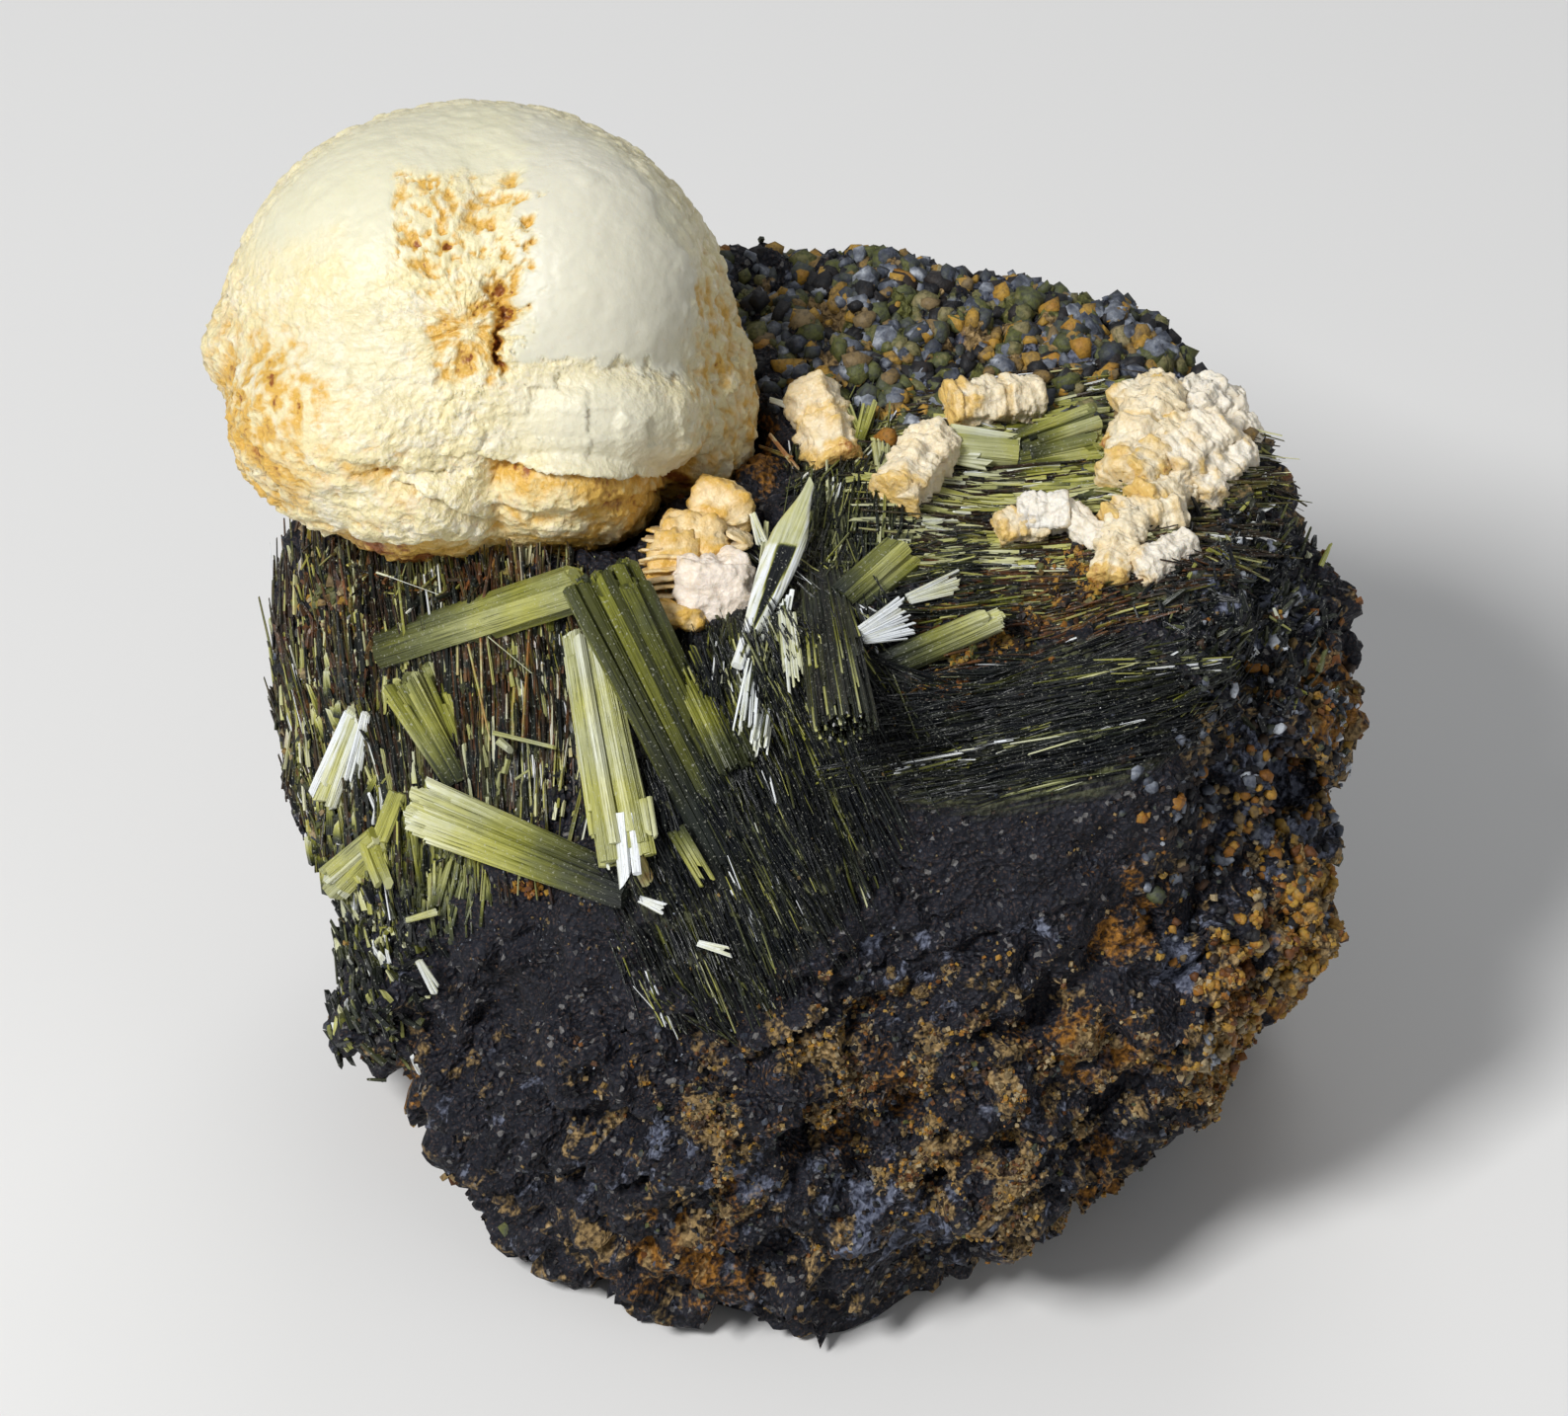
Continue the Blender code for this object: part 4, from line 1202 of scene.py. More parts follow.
@dataclass
class FeltZone:
    """A stretch of felted needles: where it lies, how its needles run and how they look."""

    patch: Patch
    heading: float
    count: int
    mineral: Mineral
    length: tuple[float, float] = (1.2, 3.8)
    width: tuple[float, float] = (0.07, 0.17)
    spread: float = 7.0
    lift: tuple[float, float] = (1.0, 9.0)
    fan: float = 0.0
    rust: float = 0.0
    both_ways: bool = False

    def prisms(self, skin: Skin, draw: np.random.Generator) -> Prisms:
        """Draws the zone's needles.

        A needle starts just under the rock, runs along the heading laid onto the rock's slope,
        and rises out of it by its lift.

        Args:
            skin: the rock's surface.
            draw: the source of random numbers.
        Returns:
            The needles.
        """
        facing = eased(skin.normals[:, 2], -0.15, 0.25)
        cover = self.patch.cover(skin.spots)
        picked = skin.drawn(np.where(cover > FELT_EDGE, cover, 0.0) * facing, self.count, draw)
        spot, normal = skin.spots[picked], skin.normals[picked]
        turn = self.heading + self.fan * (spot[:, 0] - self.patch.across)
        turn = np.radians(turn + draw.normal(0.0, self.spread, self.count))
        if self.both_ways:
            turn = turn + np.where(draw.random(self.count) > 0.5, math.pi, 0.0)
        way = np.stack((np.cos(turn), np.sin(turn), np.zeros(self.count)), axis=1)
        way = unit(way - normal * (way * normal).sum(axis=1)[:, None])
        rise = np.radians(draw.uniform(*self.lift, self.count))[:, None]
        way = way * np.cos(rise) + normal * np.sin(rise)
        length = draw.uniform(*self.length, self.count) * draw.uniform(0.6, 1.0, self.count)
        start = spot - way * length[:, None] * 0.4 - normal * 0.06
        start += draw.normal(0.0, 0.08, (self.count, 3))
        width = draw.uniform(*self.width, self.count)
        run, cut = math.radians(self.heading), math.radians(self.heading + 90.0)
        strand = np.stack((
            (spot[:, 0] * math.cos(run) + spot[:, 1] * math.sin(run)) * 0.16,
            (spot[:, 0] * math.cos(cut) + spot[:, 1] * math.sin(cut)) * 1.3,
            spot[:, 2] * 0.3,
        ), axis=1)
        clump = 0.5 + 0.95 * Noise(self.count).fractal(strand, 2)
        shade = np.clip(draw.random(self.count) * 0.58 + clump * 0.46, 0.0, 1.0)
        return Prisms(
            start, start + way * length[:, None],
            width, width * draw.uniform(0.5, 1.0, self.count),
            draw.uniform(0.0, 3.0, self.count), shade,
            sides=4, taper=0.6, slant=0.6,
        )


@dataclass
class NeedleFelt:
    """The felt of fine needles in all the rock's fibrous stretches."""

    name: str
    zones: tuple[FeltZone, ...]
    seed: int

    def build(self, skin: Skin, finish: Material) -> Object:
        """Builds every zone's needles.

        Args:
            skin: the rock's surface.
            finish: the needles' material.
        Returns:
            The needles as one piece.
        """
        draw = np.random.default_rng(self.seed)
        parts = [zone.prisms(skin, draw).surface(zone.mineral, zone.rust) for zone in self.zones]
        return Surface.joined(parts).piece(self.name, finish, False, "olive_crystal")


@dataclass
class CrumbZone:
    """A stretch of grains: where, on which tint of rock, how many, how large and with which tones."""

    patch: Patch
    count: int
    size: tuple[float, float]
    tones: tuple[float, ...]
    tint: str = ""
    back: bool = False


@dataclass
class Crumbs:
    """Small grains that crust the rock, angular or rounded."""

    name: str
    zones: tuple[CrumbZone, ...]
    seed: int
    rounded: bool = False
    uneven: float = 0.17
    sunk: float = 0.22

    def build(self, skin: Skin, finish: Material) -> Object:
        """Builds the grains.

        A grain is a block whose corners are each moved a little, turned at random and set half
        into the rock. A rounded grain has a raised middle on each of the block's faces too.

        Args:
            skin: the rock's surface.
            finish: the grains' material.
        Returns:
            The grains as one piece.
        """
        draw = np.random.default_rng(self.seed)
        noise = Noise(self.seed)
        clump = eased(noise.fractal(skin.spots * 0.9, 3), -0.25, 0.45)
        parts = []
        block = np.array(list(product((-0.5, 0.5), repeat=3)))
        faces = np.array((
            (0, 1, 3, 2), (4, 6, 7, 5), (0, 4, 5, 1), (2, 3, 7, 6), (0, 2, 6, 4), (1, 5, 7, 3),
        ))
        if self.rounded:
            crowns = np.arange(len(block), len(block) + len(faces))
            sides = [np.stack((faces[:, n], faces[:, (n + 1) % 4], crowns), axis=1) for n in range(4)]
            block = np.concatenate((block, block[faces].mean(axis=1) * 1.5))
            faces = np.concatenate(sides)
        points = len(block)
        for zone in self.zones:
            facing = eased(skin.normals[:, 2] * (-1.0 if zone.back else 1.0), -0.3, 0.2)
            cover = zone.patch.cover(skin.spots)
            chance = np.where(cover > GRAIN_EDGE, cover, 0.0) * facing * (0.06 + clump)
            if zone.tint:
                chance = chance * skin.values[zone.tint] ** 2.0
            picked = skin.drawn(chance, zone.count, draw)
            count = zone.count
            size = draw.uniform(*zone.size, (count, 1)) * draw.uniform(0.5, 1.0, (count, 3))
            moved = draw.uniform(-self.uneven, self.uneven, (count, points, 3))
            shape = (block[None] + moved) * size[:, None, :]
            first = unit(draw.normal(size=(count, 3)))
            second = unit(np.cross(first, draw.normal(size=(count, 3))))
            turn = np.stack((first, second, np.cross(first, second)), axis=1)
            sunk = size.min(axis=1, keepdims=True) * self.sunk
            middle = skin.spots[picked] - skin.normals[picked] * sunk
            middle = middle + draw.normal(0.0, 0.05, (count, 3))
            places = np.einsum("nvi,nij->nvj", shape, turn) + middle[:, None, :]
            corners = (faces.reshape(-1)[None] + points * np.arange(count)[:, None]).reshape(-1)
            drift = 0.5 + 0.9 * noise.fractal(skin.spots[picked] * 0.7, 2)
            drift = drift + draw.normal(0.0, 0.16, count)
            order = np.clip(drift * len(zone.tones), 0, len(zone.tones) - 1).astype(int)
            tone = np.array(zone.tones)[order] + draw.normal(0.0, 0.03, count)
            tones = np.repeat(np.clip(tone, 0.0, max(zone.tones)), points)
            ways = np.full(len(faces) * count, faces.shape[1])
            parts.append(Surface(places.reshape(-1, 3), corners, ways, {"tone": tones}))
        return Surface.joined(parts).piece(self.name, finish, self.rounded, "dark_rock")


@dataclass
class CrystalSpray:
    """A bundle of striated prisms that stands out of the rock."""

    node: str
    root: tuple[float, float]
    tip: tuple[float, float]
    root_lift: float
    tip_lift: float
    width: float
    thickness: float
    prisms: int
    mineral: Mineral
    fan: float = 0.25
    ragged: float = 0.16
    slim: float = 0.34
    root_out: float = 0.8
    rust: float = 0.0
    hidden_root: float = 0.5
    root_ragged: float = 0.06
    slot: str = "olive_crystal"

    def axis(self, ground: Ground) -> tuple[Array, Array]:
        """The line that the bundle runs along.

        Args:
            ground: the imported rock.
        Returns:
            Its start and end, on the rock at both and clear of it between them.
        """
        root = (*self.root, self.root_lift)
        tip = (*self.tip, self.tip_lift)
        return ground.span(root, tip, self.thickness * 0.35)

    def build(self, ground: Ground, finish: Material, seed: int) -> Object:
        """Builds the bundle.

        The prisms fill an oval section, run side by side from the root to the tip and spread by
        the fan, each ending a little short.

        Args:
            ground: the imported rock.
            finish: the crystals' material.
            seed: the seed of the random numbers.
        Returns:
            The bundle as one piece.
        """
        draw = np.random.default_rng(seed)
        start, end = self.axis(ground)
        along = unit(end - start)
        side = sideways(along)
        face = np.cross(side, along)
        count = self.prisms
        reach = np.sqrt(draw.random(count)) * 0.46
        angle = draw.uniform(0.0, 2.0 * math.pi, count)
        aside = (reach * np.cos(angle) * self.width)[:, None] * side
        deep = (reach * np.sin(angle) * self.thickness)[:, None] * face
        length = np.linalg.norm(end - start)
        short = (draw.random(count) ** 1.6 * self.ragged * length)[:, None]
        near = start + aside * self.root_out + deep * 0.8 - along * self.hidden_root
        near += along * (draw.random(count) ** 1.5 * self.root_ragged * length)[:, None]
        far = end + aside * (1.0 + self.fan) + deep - along * short
        wide = self.slim * draw.uniform(0.4, 1.8, count)
        made = Prisms(
            near, far,
            wide, wide * draw.uniform(0.5, 0.9, count),
            draw.normal(0.0, 0.35, count), draw.random(count),
            sides=6, taper=0.94, slant=0.6,
        )
        surface = made.surface(self.mineral, self.rust)
        return surface.piece(self.node + "_crystals", finish, False, self.slot, self.node)


@dataclass(frozen=True)
class Needle:
    """A crystal or a small fan of them: its two ends as (across, up, lift), its size and its tone."""

    start: tuple[float, float, float]
    end: tuple[float, float, float]
    width: float
    thickness: float
    mineral: Mineral = Mineral.YELLOW
    draw: float = 0.5
    rust: float = 0.0
    count: int = 1
    fan: float = 0.6


@dataclass
class LooseCrystals:
    """The single crystals, blades, chips and hairs that stand out in the display view."""

    name: str
    needles: tuple[Needle, ...]

    def build(self, ground: Ground, finish: Material) -> Object:
        """Builds each crystal as prisms side by side between its two ends on the rock.

        Args:
            ground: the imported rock.
            finish: the crystals' material.
        Returns:
            The crystals as one piece.
        """
        parts = []
        draw = np.random.default_rng(len(self.needles))
        for needle in self.needles:
            start, end = ground.span(needle.start, needle.end, needle.thickness * 0.4)
            way = end - start
            side = sideways(way)
            count = needle.count
            spread = needle.width if count > 1 else 0.0
            offset = (((np.arange(count) + 0.5) / count - 0.5) * spread)[:, None] * side
            short = (draw.random(count) * 0.3 * (count > 1))[:, None] * way
            prisms = Prisms(
                start + offset * (1.0 - needle.fan) + short * 0.2,
                end + offset - short,
                needle.width / count * draw.uniform(0.8, 1.0 + 0.5 * (count > 1), count),
                needle.thickness * draw.uniform(0.7, 1.0, count),
                draw.normal(0.0, 0.3, count),
                np.clip(needle.draw + draw.normal(0.0, 0.1, count), 0.0, 1.0),
                sides=6, taper=0.85, slant=0.8,
            )
            parts.append(prisms.surface(needle.mineral, needle.rust))
        return Surface.joined(parts).piece(self.name, finish, False, "silver_crystal")


@dataclass
class PaleBlade:
    """The silvery blade with a dark stripe and a pale tip, and the white striated fan at its side."""

    node: str = "pale_blade"
    foot: tuple[float, float, float] = (-1.9, 1.7, 1.0)
    tip: tuple[float, float, float] = (1.1, 9.1, 3.0)
    half_width: float = 0.72
    half_thickness: float = 0.24
    striae: int = 64
    seed: int = 77
    rows: int = 84
    columns: int = 48

    def axis(self, ground: Ground) -> tuple[Array, Array]:
        """The blade's foot and tip, clear of the rock between them."""
        return ground.span(self.foot, self.tip, self.half_thickness + 0.15)

    def blade(self, start: Array, end: Array) -> Surface:
        """The blade, as a flat outline carried from its foot to its tip.

        The outline is an ellipse cut flat at five sixths of its height. Its half width grows from
        a third at the foot to all of it at two thirds of the way and shrinks to a quarter at the
        tip. The tone is pale near the tip, with a painted highlight that lifts its right side
        towards silver, and silver below with a dark stripe that narrows towards the foot.

        Args:
            start: the foot.
            end: the tip.
        Returns:
            The closed blade.
        """
        along = unit(end - start)
        side = sideways(along)
        face = np.cross(along, side)
        length = np.linalg.norm(end - start)
        level = np.concatenate(((0.0,), np.linspace(0.0, 1.0, self.rows - 2), (1.0,)))
        level, turn = sweep(level, self.columns)
        turn = turn + math.pi / 2.0
        wide = self.half_width * (0.35 + 0.65 * eased(level, 0.0, 0.6))
        wide *= 1.0 - 0.75 * eased(level, 0.66, 1.0)
        closed = np.ones((self.rows, 1))
        closed[(0, -1), 0] = 0.0
        over = np.cos(turn)
        rise = np.clip(np.sin(turn) * 1.2, -1.0, 1.0) * self.half_thickness
        rise = rise * (0.6 + 0.4 * wide / self.half_width)
        slant = 0.22 * over * eased(level, 0.9, 1.0)
        places = start + (level * length - slant)[..., None] * along
        places = places + (over * wide * closed)[..., None] * side + (rise * closed)[..., None] * face
        stripe = eased(0.1 + 0.36 * eased(level, 0.08, 0.62) - np.abs(over - 0.08), -0.06, 0.06)
        stripe *= eased(level, 0.02, 0.1)
        silver = 0.97 - 0.95 * stripe
        top = eased(level - 0.02 * over, 0.625, 0.65)
        # Near the tip the tone is pale, rising towards silver on the right side: a painted highlight
        tone = silver + (0.82 + 0.13 * eased(over, 0.5, 0.8) - silver) * top
        values = {"tone": tone, "rust": np.zeros(tone.shape)}
        surface = Surface.grid(places, values)
        flat = (surface.places - start) @ np.stack((side * 7.0, along * 0.35), axis=1)
        surface.uv = flat[surface.corners]
        return surface

    def build(self, ground: Ground, finish: Material) -> Object:
        """Builds the blade, and its fan as thin prisms from the blade's right edge down to the rock.

        Args:
            ground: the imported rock.
            finish: the crystals' material.
        Returns:
            The blade and its fan as one piece.
        """
        start, end = self.axis(ground)
        slope = (end[2] - start[2]) / (end[1] - start[1])
        high = [
            View.sighted(across, up, start[2] + slope * (up - start[1]))
            for across, up in ((0.35, 4.8), (-1.5, 1.9))
        ]
        low = [ground.place(*spot) for spot in ((-0.85, -2.0, 1.3), (-1.85, -0.6, 1.5))]
        draw = np.random.default_rng(self.seed)
        count = self.striae
        share = draw.random(count)[:, None]
        near = high[0] + (high[1] - high[0]) * share + draw.normal(0.0, 0.05, (count, 3))
        far = low[0] + (low[1] - low[0]) * share + draw.normal(0.0, 0.14, (count, 3))
        near[:, 2] += 0.1
        prisms = Prisms(
            near,
            far + (near - far) * (draw.random(count) ** 2.0 * 0.35)[:, None],
            draw.uniform(0.08, 0.3, count), draw.uniform(0.1, 0.24, count),
            draw.normal(0.0, 0.4, count), draw.random(count),
            sides=4, taper=0.6, slant=0.8,
        )
        parts = [self.blade(start, end), prisms.surface(Mineral.SILVER)]
        name = self.node + "_crystals"
        return Surface.joined(parts).piece(name, finish, False, "silver_crystal", self.node)


@dataclass
class PrehniteBall:
    """The lobed ball, with layers under its lip, a stained rough patch and a crack."""

    middle: tuple[float, float, float] = (-12.35, 14.85, 5.5)
    columns: int = 420
    rows: int = 210
    seed: int = 21
    sharpness: float = 60.0
    lobes: tuple[tuple[tuple[float, float, float], tuple[float, float, float]], ...] = (
        ((0.0, 0.1, 0.0), (10.3, 9.5, 9.8)),
        ((3.2, 1.6, 2.8), (6.1, 6.5, 7.2)),
        ((-2.2, 1.8, 1.4), (7.2, 7.0, 8.5)),
        ((-3.6, -3.0, 2.2), (6.2, 5.1, 7.2)),
        ((4.2, -3.0, 3.0), (5.2, 3.2, 6.4)),
        ((3.5, -5.9, 1.6), (4.4, 2.9, 7.2)),
        ((-1.9, -6.2, 1.0), (4.9, 2.8, 7.2)),
        ((8.3, -2.4, -1.0), (2.8, 4.6, 4.6)),
        ((-8.4, -0.3, 0.6), (2.5, 2.6, 3.2)),
    )

    def reach(self, way: Array) -> Array:
        """How far the lobes reach, each an ellipsoid that a ray from the middle leaves.

        Args:
            way: the rays' directions, at length one.
        Returns:
            All lobes' reaches raised to the sharpness, summed, and the root taken, which is the
            farthest reach with its edges eased.
        """
        total = np.zeros(len(way))
        for middle, radii in self.lobes:
            scaled = way / radii
            offset = np.array(middle) / radii
            a = (scaled**2).sum(axis=1)
            b = scaled @ offset
            inside = b * b - a * ((offset**2).sum() - 1.0)
            hit = np.where(inside > 0.0, (b + np.sqrt(np.maximum(inside, 0.0))) / a, 0.1)
            total += np.maximum(hit, 0.1) ** self.sharpness
        return total ** (1.0 / self.sharpness) - 0.06

    def blocks(self, at: Array, noise: Noise) -> Array:
        """Square-edged plates in rough rows.

        The place across picks a column, each column is shifted up by its own amount, the place up
        picks a row, and each block of column and row has a height of its own.

        Args:
            at: places from the ball's middle.
            noise: the noise to draw the blocks from.
        Returns:
            A height from -0.5 to 0.5 for each place.
        """
        bent = at + 0.16 * noise.wave(at * 1.3)[:, None]
        column = np.floor(bent[:, 0] / 1.15)
        shift = noise.pick(np.stack((column, column * 0, column * 0), axis=1).astype(int)) / 255.0
        row = np.floor(bent[:, 1] / 0.95 + shift)
        block = noise.pick(np.stack((column, row, row * 0), axis=1).astype(int)) / 255.0
        return block - 0.5

    def build(self, finish: Material) -> Object:
        """Builds the ball.

        The pole of the grid points to the viewer; each place lies at the lobes' reach along its
        way, changed by the plates, the lip, the patch and the crack.

        Args:
            finish: the ball's material.
        Returns:
            The ball as one piece.
        """
        share = np.linspace(0.0, 1.0, self.rows)
        polar = math.pi * (0.72 * share + 0.28 * share**2.4)
        polar, turn = sweep(polar, self.columns)
        way = np.stack(
            (np.sin(polar) * np.cos(turn), np.sin(polar) * np.sin(turn), np.cos(polar)), axis=-1
        ).reshape(-1, 3)
        noise = Noise(self.seed)
        reach = self.reach(way)
        at = way * reach[:, None]
        across, up, toward = at.T
        front = eased(toward, -2.0, 2.0)
        wander = noise.fractal(at * 0.5, 3)
        jagged = noise.fractal(at * 1.5 + 3.0, 3)

        # The smooth cap of the right lobe, with a jagged left edge and a ledge below
        left_edge = 1.95 + 0.9 * jagged - 0.06 * (up - 0.6) + 0.4 * eased(up, 1.5, 5.0)
        ledge = -1.3 - 0.07 * (across - 2.0) + 0.4 * wander + 0.45 * jagged
        cap = eased(across - left_edge, -0.08, 0.1) * eased(up - ledge, -0.12, 0.12) * front
        cap *= eased(8.5 + 0.5 * wander - np.hypot(across, (up - 0.6) * 1.05), -0.3, 0.3)
        cap *= eased(6.6 - up, -0.5, 1.5)
        milky = eased(across - left_edge, -0.5, 0.9) * eased(up - ledge, -0.3, 0.4) * front
        milky *= eased(8.7 + 0.7 * wander - np.hypot(across, (up - 0.6) * 1.05), -0.5, 0.7)
        crown = eased(up - 1.9 + 0.9 * wander + 0.5 * jagged, -1.6, 2.6) * eased(toward, -5.0, -1.0)
        rough = 1.0 - np.maximum(cap, 0.94 * crown)

        # The stained patch with its square left side, and the crack below it
        patch = eased(across + 2.9 + 0.2 * jagged, -0.12, 0.12)
        patch *= eased(6.2 + 0.6 * wander - up, -0.3, 0.5) * eased(left_edge + 0.4 - across, -0.3, 0.5)
        patch *= eased(up - 0.4 - 0.55 * np.maximum(-across - 0.2, 0.0), -1.2, 0.8) * front
        lower = Patch(-0.2, -0.9, 1.9, 1.5, -20.0).cover(at) * front * (1.0 - cap)
        flecks = noise.fractal(at * 3.2 + 5.0, 3)
        pitted = patch * eased(0.6 * jagged + 0.7 * flecks + 0.4 * wander, -0.25, 0.25)
        stained = np.maximum(pitted, eased(lower + 0.3 * jagged, 0.3, 0.8))
        rough = np.maximum(rough, 0.9 * np.maximum(patch * 0.6, stained))

        # Layers under the lip on the right, and lower ones on the left
        lip = -5.75 + 0.06 * (across - 4.8) ** 2 + 0.3 * wander
        right = eased(across, 0.2, 1.2) * eased(8.9 - across, -0.6, 0.6)
        depth = np.maximum(lip - up, 0.0)
        under = eased(depth, 0.0, 0.24) * np.exp(-depth / 2.0) * right
        second = -7.15 + 0.05 * (across - 3.6) ** 2 + 0.2 * wander
        gap = np.maximum(second - up, 0.0)
        under += 0.45 * eased(gap, 0.0, 0.2) * np.exp(-gap / 0.9) * right
        low = -8.15 + 0.045 * (across + 2.2) ** 2 + 0.3 * wander
        left = eased(1.2 - across, -0.5, 0.8) * eased(across, -8.0, -5.0)
        gap = np.maximum(low - up, 0.0)
        under += 0.6 * eased(gap, 0.0, 0.3) * np.exp(-gap / 1.6) * left
        seam = -6.4 - 0.45 * (across + 2.0) + 0.3 * wander
        under += 0.5 * np.exp(-(((up - seam) / 0.2) ** 2)) * eased(across, -5.0, -2.0) * left
        edge_line = -5.6 + 0.3 * jagged
        notch = np.exp(-(((up - edge_line) / 0.16) ** 2))
        under += 0.3 * notch * Patch(-2.6, -5.6, 2.4, 1.0).cover(at)
        under *= eased(toward, -6.0, -1.0)

        _, edge, tone = noise.cells(at * (0.6, 0.8, 0.6) + 0.2 * jagged[:, None])
        plates = (tone - 0.5) * 0.34 * eased(edge, 0.0, 0.12) - 0.07 * (1.0 - eased(edge, 0.0, 0.1))
        square = self.blocks(at, noise)
        blocky = Patch(5.2, -3.7, 4.0, 2.4, -4.0).cover(at) * front * (1.0 - cap)
        blocky += 0.55 * Patch(-4.6, -1.2, 3.6, 2.6).cover(at) * front * (1.0 - patch)
        tiny = noise.cells(at * (1.5, 2.6, 1.9) + 0.25 * jagged[:, None])
        sugar = (tiny[2] - 0.5) * 0.26 - 0.08 * (1.0 - eased(tiny[1], 0.0, 0.25))
        sugar += 0.1 * noise.ridged(at * (0.9, 3.4, 1.6), 2)
        rim = eased(np.hypot(across, up), 8.6, 10.0)
        steps = noise.cells(at * 1.15 + 7.0)
        scallops = (steps[2] - 0.5) * 0.22 - 0.14 * (1.0 - eased(steps[1], 0.0, 0.25))
        crack_line = 1.3 + 0.22 * np.sin(up * 2.2) + 0.4 * jagged + 0.1 * flecks
        wide = 0.2 + 0.34 * np.exp(-(((up - 1.0) / 0.8) ** 2))
        crack = np.exp(-(((across - crack_line) / wide) ** 2)) * eased(up, -2.2, -1.3)
        crack *= eased(2.3 - up, -0.4, 1.2) * front

        blocky = np.clip(blocky, 0.0, 1.0)
        change = cap * 0.14 - 0.95 * under - 0.85 * crack - 0.16 * stained * (0.7 + jagged)
        change += rough * (plates * 0.6 * (1.0 - 0.9 * blocky) + 0.5 * sugar * (1.0 - 0.85 * blocky))
        change += blocky * square * 0.36 + scallops * np.maximum(rim, 0.1 * crown) + 0.05 * wander
        change += (1.0 - rough) * (0.05 * (tone - 0.5) + 0.02 * jagged)
        spot = np.exp(-(((across + 0.84) / 0.17) ** 2) - ((up - 3.1) / 0.16) ** 2) * front
        change -= 0.3 * spot
        crevice = eased(depth, 0.0, 0.1) * np.exp(-depth / 0.55) * right * eased(toward, -6.0, -1.0)
        stain = 0.62 * eased(crack, 0.1, 0.8) + 0.42 * np.clip(under, 0.0, 1.0)
        stain += 0.36 * crack * eased(-up, -0.6, 0.2) + 0.28 * lower * (0.8 + jagged)
        stain += crevice * (0.6 + 0.7 * jagged)
        stain += stained * (0.3 + 0.4 * jagged + 0.3 * flecks) + 0.12 * patch
        stain += 0.44 * eased(-up, 0.5, 7.0) * eased(-across, -2.0, 6.0) * (0.7 + wander)
        stain += 0.62 * Patch(-7.4, -2.2, 2.6, 2.4).cover(at) * (0.7 + 1.2 * jagged)
        stain += 0.2 * eased(-across, 5.0, 9.5) * eased(up, -9.0, -2.0)
        stain += 0.3 * right * eased(depth, 0.1, 0.6) * (0.8 + wander)
        stain += 0.24 * eased(across, 6.8, 8.8) * eased(3.4 - up, -2.0, 2.0) * (1.0 + 2.0 * jagged)
        stain += 0.14 * rim + 0.75 * eased(-up, 7.9, 9.2) + 0.22 * eased(-toward, 0.0, 7.0)
        stain -= 0.26 * (1.0 - rough) + 0.22 * rough * (tone - 0.4) * (1.0 - patch) + 0.25 * blocky
        # The dark speck, and more stain where the sugary relief sinks: painted shade in its hollows
        stain += 1.6 * spot - rough * sugar * 1.1
        places = way * (reach + change)[:, None] + View.sighted(*self.middle)
        rough = rough * (1.0 - 0.7 * blocky) + 0.5 * rim * (1.0 - rough)
        values = {
            "stain": np.clip(stain, 0.0, 1.2).reshape(polar.shape),
            "rough": np.clip(rough, 0.0, 1.0).reshape(polar.shape),
            "white": np.clip(milky + 0.7 * blocky, 0.0, 1.0).reshape(polar.shape),
        }
        surface = Surface.grid(places.reshape(*polar.shape, 3), values)
        return surface.turned_out().piece("ball", finish, True, "cream_prehnite", "prehnite_ball")


